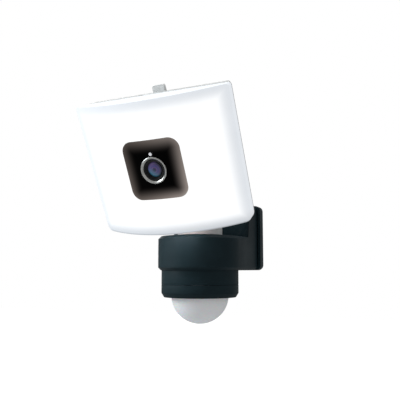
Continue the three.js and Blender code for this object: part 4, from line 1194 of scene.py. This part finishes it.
def armOutline(floor, stop):
    eye, turretTop, direction, across = armFrame()
    radius = arm["radius"] - arm["slim"]
    past = 2 if floor > 0 else 0
    end = eye - direction * stop
    back = end + across * (radius + past)
    fore = end - across * (radius - floor)
    sole = turretTop - arm["sink"]
    heel = arm["rootHalf"] + past
    points = [tuple(fore), (-arm["rootHalf"] + floor, sole + 2 * past), (heel, sole + 2 * past)]
    points += [(heel, sole + arm["rootTall"]), tuple(back)]
    return points


def acrossBlock(name, points, half):
    # an outline in y and z, made as wide to the left as to the right
    return outlinePiece(name, [(-half, y, z) for y, z in points], (2 * half, 0, 0))


def makeTurret(low, turretTop):
    outer, rounding = arm["turretOut"], arm["turretRound"]
    foot, edge = arm["turretLow"], arm["turretEdge"]
    profile = [(arm["bore"], low.z), (arm["hub"], low.z), (arm["hub"], foot), (outer - edge, foot),
               (outer, foot + edge)]
    profile += arc((outer - rounding, turretTop - rounding), rounding, 0, 90, 8) + [(arm["bore"], turretTop)]
    return turnedPiece("neck_arm_skin", profile, 160, closed=True)


def makeNeck():
    low, high = ownBox("neck_arm", panPlace)
    arm["turretLow"] = ownBox("pan_washer", panPlace)[1].z + arm["gap"]
    eye, turretTop = armFrame()[:2]
    half = ownBox("tilt_washer_right", panPlace)[0].x - arm["gap"]
    radius = arm["radius"] = high.z - eye.y
    body = makeTurret(low, turretTop)
    beam = acrossBlock("beam", armOutline(0, 0), half)
    unite(beam, rodPiece("knuckle", radius, (-half, eye.x, eye.y), (half, eye.x, eye.y), 96))
    unite(body, beam)
    channel = arm["channelHalf"]
    cover = channel + arm["coverLap"]
    boltStart, boltEnd = (-half - 1, eye.x, eye.y), (half + 1, eye.x, eye.y)
    carve(body, acrossBlock("cutter", armOutline(arm["floor"], radius), channel))
    carve(body, acrossBlock("cutter", coverOutline(0), cover + arm["gap"]))
    carve(body, rodPiece("cutter", arm["bore"], (0, 0, low.z - 1), (0, 0, turretTop + arm["rootTall"]), 64))
    carve(body, rodPiece("cutter", arm["boltHole"], boltStart, boltEnd, 48))
    soften(body, arm["bevel"], 3, 30)
    finish(body, "white_plastic", place=panPlace)

    lid = acrossBlock("neck_cover_skin", coverOutline(arm["gap"]), cover)
    soften(lid, arm["coverEdge"], 3, 30)
    finish(lid, "white_plastic", place=panPlace)


def coverOutline(inset):
    eye, turretTop, direction, across = armFrame()
    thick = arm["radius"] - arm["slim"]
    top = eye - direction * (arm["radius"] / 2 + inset) + across * thick
    root = Vector((arm["rootHalf"], turretTop - arm["sink"] + arm["rootTall"]))
    along = (top - root).normalized()
    inward = Vector((-along.y, along.x))
    if inward.dot(across) > 0:
        inward.negate()
    foot = root + along * (1 + inset)
    depth = arm["coverDepth"] - inset
    past = 0 if inset > 0 else 2
    points = [top + inward * depth, foot + inward * depth, foot - inward * past, top - inward * past]
    return [tuple(point) for point in points]


washer = {"panBore": 13, "tiltBore": 3.5, "edge": 0.2, "tiltEdge": 0.12}


def makeWashers():
    low, high = ownBox("pan_washer", panPlace)
    bore, outer, edge = washer["panBore"], high.x, washer["edge"]
    profile = [(bore, low.z), (outer - edge, low.z), (outer, low.z + edge), (outer, high.z - edge),
               (outer - edge, high.z), (bore, high.z)]
    flat = turnedPiece("pan_washer_skin", profile, 128, closed=True)
    smooth(flat, 30)
    finish(flat, "grey_rubber", place=panPlace)
    for name in ("tilt_washer_left", "tilt_washer_right"):
        low, high = ownBox(name, neckPlace)
        bore, radius, thick = washer["tiltBore"], high.z, high.x - low.x
        profile = [(bore, 0), (radius, 0), (radius, thick), (bore, thick)]
        disc = turnedPiece(name + "_skin", profile, 96, closed=True)
        seat(disc, Matrix.Translation((low.x, 0, 0)) @ toSide)
        soften(disc, washer["tiltEdge"], 2, 30)
        finish(disc, "steel", place=neckPlace)


bolt = {"radius": 3, "head": 5.5, "headTall": 3, "threadGap": 0.3, "headEdge": 0.2, "nutEdge": 0.15,
        "flat": 0.9, "wide": 1.2, "fall": 0.18}


def makeTiltBolt():
    low, high = ownBox("tilt_bolt", neckPlace)
    headIn = high.x - bolt["headTall"]
    shank = rodPiece("tilt_bolt_skin", bolt["radius"], (low.x, 0, 0), (headIn + 0.5, 0, 0), 64)
    headSix = rodPiece("six", bolt["head"], (headIn, 0, 0), (high.x, 0, 0), 6)
    carve(headSix, domedCutter(high.x, 1), how="INTERSECT")
    unite(shank, headSix)
    soften(shank, bolt["headEdge"], 2, 30)
    finish(shank, "steel", place=neckPlace)

    low, high = ownBox("tilt_nut", neckPlace)
    hole = bolt["radius"] + bolt["threadGap"]
    nut = rodPiece("tilt_nut_skin", bolt["head"], (low.x, 0, 0), (high.x, 0, 0), 6)
    carve(nut, domedCutter(low.x, -1), how="INTERSECT")
    carve(nut, rodPiece("cutter", hole, (low.x - 1, 0, 0), (high.x + 1, 0, 0), 48))
    soften(nut, bolt["nutEdge"], 2, 30)
    finish(nut, "steel", place=neckPlace)


def domedCutter(tip, side):
    # a cone that takes the sharp corners off a hexagon's outer face
    radius = bolt["head"]
    wide = radius * bolt["wide"]
    profile = [(0, 0), (radius * bolt["flat"], 0), (wide, -radius * bolt["fall"]), (wide, -8), (0, -8)]
    cone = turnedPiece("cutter", profile, 64)
    return seat(cone, Matrix.Translation((tip, 0, 0)) @ Matrix.Rotation(math.radians(90 * side), 4, "Y"))


makeNeck()
makeWashers()
makeTiltBolt()
print("neck ready")


# base: housing with its low round front, and the plate behind it
base = {"chamfer": 3, "corner": 5, "wall": 2.6, "edge": 0.5, "towerFront": -47, "hubHole": 13,
        "screwInset": 12.7, "screwHole": 2.1, "screwHead": 3.2, "screwDeep": 1.7, "tongue": 7, "gap": 0.3}


def makeBaseHousing():
    low, high = ownBox("base_housing", basePlace)
    half = high.x
    panY = panPoint.y / mm
    towerFront = base["towerFront"]
    shelf = ownBox("pan_washer", basePlace)[0].z - base["gap"]
    shell = rodPiece("base_housing_skin", half, (0, panY, low.z), (0, panY, shelf), 256)
    startEdit(shell, "FACE")
    bpy.ops.mesh.select_all(action="SELECT")
    bpy.ops.mesh.bisect(plane_co=(0, panY, 0), plane_no=(0, 1, 0), use_fill=True, clear_outer=True)
    endEdit()
    pickFaces(shell, lambda middle, normal: normal.y > 0.99)
    bpy.ops.mesh.extrude_region_move(TRANSFORM_OT_translate={"value": (0, towerFront - panY, 0)})
    bpy.ops.mesh.extrude_region_move(TRANSFORM_OT_translate={"value": (0, high.y - towerFront, 0)})
    endEdit()
    pickFaces(shell, lambda middle, normal: normal.z > 0.99 and middle.y > towerFront)
    bpy.ops.mesh.extrude_region_move(TRANSFORM_OT_translate={"value": (0, 0, high.z - shelf)})
    endEdit()
    # join the flat faces that lie in one plane again
    startEdit(shell, "FACE")
    bpy.ops.mesh.select_all(action="SELECT")
    bpy.ops.mesh.remove_doubles(threshold=0.001)
    bpy.ops.mesh.dissolve_limited(angle_limit=math.radians(0.2))
    endEdit()
    def onTowerCorner(a, b):
        upright = near(a.x, b.x) and near(abs(a.x), half)
        return upright and near(a.y, towerFront) and near(b.y, towerFront) and max(a.z, b.z) > high.z - 1
    pickEdges(shell, onTowerCorner)
    bpy.ops.mesh.bevel(offset=base["corner"], segments=8, affect="EDGES")
    endEdit()
    rearLine = high.y - 0.01

    def onRim(a, b):
        if (a.y > rearLine and b.y > rearLine) or not near(a.z, b.z):
            return False
        # the shelf's rim, but not the line where the tower stands on it
        ahead = max(a.y, b.y) < towerFront + 0.01 and min(a.y, b.y) < towerFront - 0.01
        onSide = near(abs(a.x), half) or abs((a.xy - Vector((0, panY))).length - half) < 0.05
        return near(a.z, low.z) or near(a.z, high.z) or (near(a.z, shelf) and ahead and onSide)
    pickEdges(shell, onRim)
    bpy.ops.mesh.bevel(offset=base["chamfer"], segments=1, affect="EDGES", clamp_overlap=False)
    endEdit()
    pickFaces(shell, lambda middle, normal: normal.y > 0.99 and middle.y > rearLine)
    bpy.ops.mesh.delete(type="FACE")
    endEdit()
    thicken(shell, base["wall"])
    sensorHole = ownBox("sensor_collar", basePlace)[1].x - sensorCut["spigotIn"] + base["gap"]
    under = low.z - 1
    cutters = [
        rodPiece("cutter", sensorHole, (0, panY, under), (0, panY, low.z + base["wall"] + 1), 160),
        rodPiece("cutter", base["hubHole"], (0, panY, shelf - base["wall"] - 1), (0, panY, shelf + 1), 96),
    ]
    for side in (-1, 1):
        x, y = side * (half - base["screwInset"]), high.y - base["tongue"] / 2
        cutters.append(rodPiece("cutter", base["screwHole"], (x, y, under), (x, y, low.z + 5), 40))
        sunk = low.z + base["screwDeep"]
        cutters.append(rodPiece("cutter", base["screwHead"], (x, y, under), (x, y, sunk), 48))
    carve(shell, *cutters)
    soften(shell, base["edge"], 3, 25)
    finish(shell, "anthracite_plastic", place=basePlace)


plateCut = {"corner": 6, "rim": 3, "back": 3, "soft": 0.3, "tongueWall": 2, "hole": 9, "drop": 20,
            "slotOut": 32, "slotUp": 18, "slotLong": 12, "slotRound": 2.3,
            "grooveIn": 3, "grooveWide": 3, "grooveDeep": 1.2,
            "peg": 2.5, "pegIn": 4, "bossHalf": 4, "bossTall": 9, "bossHole": 2.1}
wallGasket = {"gap": 0.3, "soft": 0.25}


def plateOutline(half, tall, inset, corner=None):
    corner = max((corner or plateCut["corner"]) - inset, 1)
    return frameOutline((-half + inset, -tall + inset), (half - inset, tall - inset), [corner] * 4, 10)


def plateTongue(half, tall, depth):
    # the wall that stands up inside the housing
    corner = 2 * base["chamfer"] + 1
    foot = -plateCut["back"]
    inner = plateOutline(half, tall, plateCut["tongueWall"], corner)
    outer = plateOutline(half, tall, 0, corner)
    tongue = outlinePiece("tongue", level(outer, foot + 0.5), (0, depth - foot - 0.5, 0))
    return carve(tongue, outlinePiece("cutter", level(inner, foot + 1), (0, depth - 4, 0)))


def plateGroove(half, tall):
    inside, deep = plateCut["grooveIn"], plateCut["grooveDeep"]
    groove = outlinePiece("cutter", level(plateOutline(half, tall, inside), 1), (0, -1 - deep, 0))
    island = plateOutline(half, tall, inside + plateCut["grooveWide"])
    return carve(groove, outlinePiece("cutter", level(island, 2), (0, -6, 0)))


def makeWallPlate():
    low, high = ownBox("wall_plate", basePlace)
    half, tall, foot = high.x, high.z, -plateCut["back"]
    house = ownBox("base_housing", basePlace)[1]
    depth = -(house.y + base["gap"])
    shell = outlinePiece("wall_plate_skin", level(plateOutline(half, tall, 0), 0), (0, -depth, 0))
    hollow = plateOutline(half, tall, plateCut["rim"])
    carve(shell, outlinePiece("cutter", level(hollow, foot), (0, -depth, 0)))
    tongueTall = tall - base["wall"] - base["gap"]
    unite(shell, plateTongue(house.x - base["wall"] - base["gap"], tongueTall, low.y))
    boardLow, boardHigh = ownBox("power_board", basePlace)
    pegIn, pegTop = plateCut["pegIn"], boardHigh.y + base["gap"]
    for x in (boardLow.x + pegIn, boardHigh.x - pegIn):
        for z in (boardLow.z + pegIn, boardHigh.z - pegIn):
            unite(shell, rodPiece("peg", plateCut["peg"], (x, pegTop, z), (x, foot + 0.5, z), 32))
    drop = -plateCut["drop"]
    cutters = [plateGroove(half, tall), rodPiece("cutter", plateCut["hole"], (0, -8, drop), (0, 2, drop), 64)]
    slotHalf, slotRound = plateCut["slotLong"] / 2, plateCut["slotRound"]
    for side in (-1, 1):
        x, z = side * plateCut["slotOut"], plateCut["slotUp"]
        cutters.append(slotCutter(x, z, slotHalf, slotRound, slotRound * 0.99, 1, -8, 8))
    bossHalf, bossTop = plateCut["bossHalf"], plateCut["bossTall"] - tongueTall
    for side in (-1, 1):
        x, y = side * (house.x - base["screwInset"]), house.y - base["tongue"] / 2
        start, end = (x - bossHalf, low.y, -tongueTall), (x + bossHalf, foot + 0.5, bossTop)
        unite(shell, boxPiece("boss", start, end))
        cutters.append(rodPiece("cutter", plateCut["bossHole"], (x, y, low.z - 1), (x, y, bossTop - 1), 32))
    carve(shell, *cutters)
    soften(shell, plateCut["soft"], 2, 30)
    finish(shell, "anthracite_plastic", place=basePlace)


def makeWallGasket():
    # lies in the plate's groove, with a gap at both sides
    high = ownBox("wall_plate", basePlace)[1]
    low, top = ownBox("wall_gasket", basePlace)
    start, gap = plateCut["grooveIn"], wallGasket["gap"]
    outer = plateOutline(high.x, high.z, start + gap)
    inner = plateOutline(high.x, high.z, start + plateCut["grooveWide"] - gap)
    band = outlinePiece("wall_gasket_skin", level(outer, top.y), (0, low.y - top.y, 0))
    carve(band, outlinePiece("cutter", level(inner, 2), (0, -8, 0)))
    soften(band, wallGasket["soft"], 2, 30)
    finish(band, "rubber", place=basePlace)


def makeGrommet():
    # half the section of a soft plug, from its thin skin out to the lips that grip the plate
    lip, bore = 11.5, plateCut["hole"] - 0.3
    profile = [(0, 1.2), (4, 1.2), (6, 0.3), (bore, 0.3), (bore, 3.3), (lip - 0.4, 3.3), (lip, 3.7),
               (lip, 4.9), (lip - 0.4, 5.3), (6, 5.3), (5.4, 4.4), (4, 2.6), (0, 2.6)]
    plug = turnedPiece("cable_grommet_skin", profile, 96)
    seat(plug, Matrix.Translation((0, 0, -plateCut["drop"])) @ toFront)
    smooth(plug, 40)
    finish(plug, "rubber", place=basePlace)


def makeBaseScrews():
    upsideDown = Matrix.Rotation(math.radians(180), 4, "X")
    setScrews(("base_screw_left", "base_screw_right"), baseScrew, basePlace, lambda middle, low, high:
              Matrix.Translation((middle.x, middle.y, low.z)) @ upsideDown)


# motion sensor under the base
sensorCut = {"soft": 0.22, "innerIn": 9.5, "spigotIn": 6.5, "bore": 8, "deck": 2.5, "seam": 0.02, "pegs": 3,
             "pegIn": 7, "peg": 2}
sensorRing = {"foot": 2.6, "knee": 4.5, "mouthGap": 0.5, "gap": 0.3, "lipEdge": 0.4}
dome = {"flange": 4, "flangeTall": 2.3, "edge": 0.2, "wall": 1.4, "steps": 48}


def makeCollar():
    high = ownBox("sensor_collar", panPlace)[1]
    radius, soft = high.x, sensorCut["soft"]
    top = ownBox("base_housing", panPlace)[0].z - sensorCut["seam"]
    bottom = ownBox("sensor_ring", panPlace)[1].z + base["gap"]
    inner, spigot, bore = radius - sensorCut["innerIn"], radius - sensorCut["spigotIn"], sensorCut["bore"]
    deck = high.z - sensorCut["deck"]
    profile = [(inner, bottom), (radius - soft, bottom)]
    profile += arc((radius - soft, bottom + soft), soft, -80, 0, 5)
    profile += arc((radius - soft, top - soft), soft, 0, 90, 5)
    profile += [(spigot, top), (spigot, high.z), (bore, high.z), (bore, deck), (inner, deck)]
    collar = turnedPiece("sensor_collar_skin", profile, 192, closed=True)
    board = ownBox("sensor_board", panPlace)[1]
    away = board.x - sensorCut["pegIn"]
    for i in range(sensorCut["pegs"]):
        turn = 2 * math.pi * i / sensorCut["pegs"]
        x, y = away * math.sin(turn), away * math.cos(turn)
        start, end = (x, y, board.z + base["gap"]), (x, y, high.z - 1)
        unite(collar, rodPiece("peg", sensorCut["peg"], start, end, 32))
    smooth(collar, 32)
    finish(collar, "anthracite_plastic", place=panPlace)


def makeSensorRing():
    low, high = ownBox("sensor_ring", panPlace)
    domeHigh = ownBox("sensor_dome", panPlace)[1]
    radius, soft = ownBox("sensor_collar", panPlace)[1].x, sensorCut["soft"]
    lip = domeHigh.z - dome["flangeTall"] - sensorRing["gap"]
    mouth = domeHigh.x - dome["flange"] + sensorRing["mouthGap"]
    pocket, edge = domeHigh.x + sensorRing["gap"], sensorRing["lipEdge"]
    foot, knee = radius - sensorRing["foot"], low.z + sensorRing["knee"]
    profile = [(mouth, low.z + edge), (mouth + edge, low.z), (foot - 0.7, low.z), (foot - 0.2, low.z + 0.12),
               (foot + 0.15, low.z + 0.5), (radius - 0.35, knee - 0.5), (radius - 0.06, knee),
               (radius, knee + 0.5)]
    profile += arc((radius - soft, high.z - soft), soft, 0, 90, 5)
    profile += [(pocket, high.z), (pocket, lip), (mouth, lip)]
    ringPiece = turnedPiece("sensor_ring_skin", profile, 192, closed=True)
    smooth(ringPiece, 25)
    finish(ringPiece, "anthracite_plastic", place=panPlace)


def makeDome():
    low, high = ownBox("sensor_dome", panPlace)
    radius, edge, steps = high.x - dome["flange"], dome["edge"], dome["steps"]
    middle, hollow, rim = low.z + radius, radius - dome["wall"], high.z - dome["flangeTall"]
    profile = arc((0, middle), radius, -90, 0, steps)
    profile += [(radius, rim), (high.x - edge, rim), (high.x, rim + edge), (high.x, high.z), (hollow, high.z)]
    profile += arc((0, middle), hollow, 0, -90, steps)
    shell = turnedPiece("sensor_dome_skin", profile, 160)
    smooth(shell, 40)
    finish(shell, "dome_plastic", place=panPlace)


makeBaseHousing()
makeWallPlate()
makeWallGasket()
makeGrommet()
makeBaseScrews()
makeCollar()
makeSensorRing()
makeDome()
print("base and sensor ready")


# what stays as the frame has it: the parts inside, each with its own finish
slotOf = {part["node"]: part["material_slot"] for part in frame["record"]["subparts"]}
for name, node in frame["nodes"].items():
    if node.hide_render:
        continue
    material = finishes[slotOf[name]]
    for place in node.material_slots:
        place.material = material
    if not node.material_slots:
        node.data.materials.append(material)
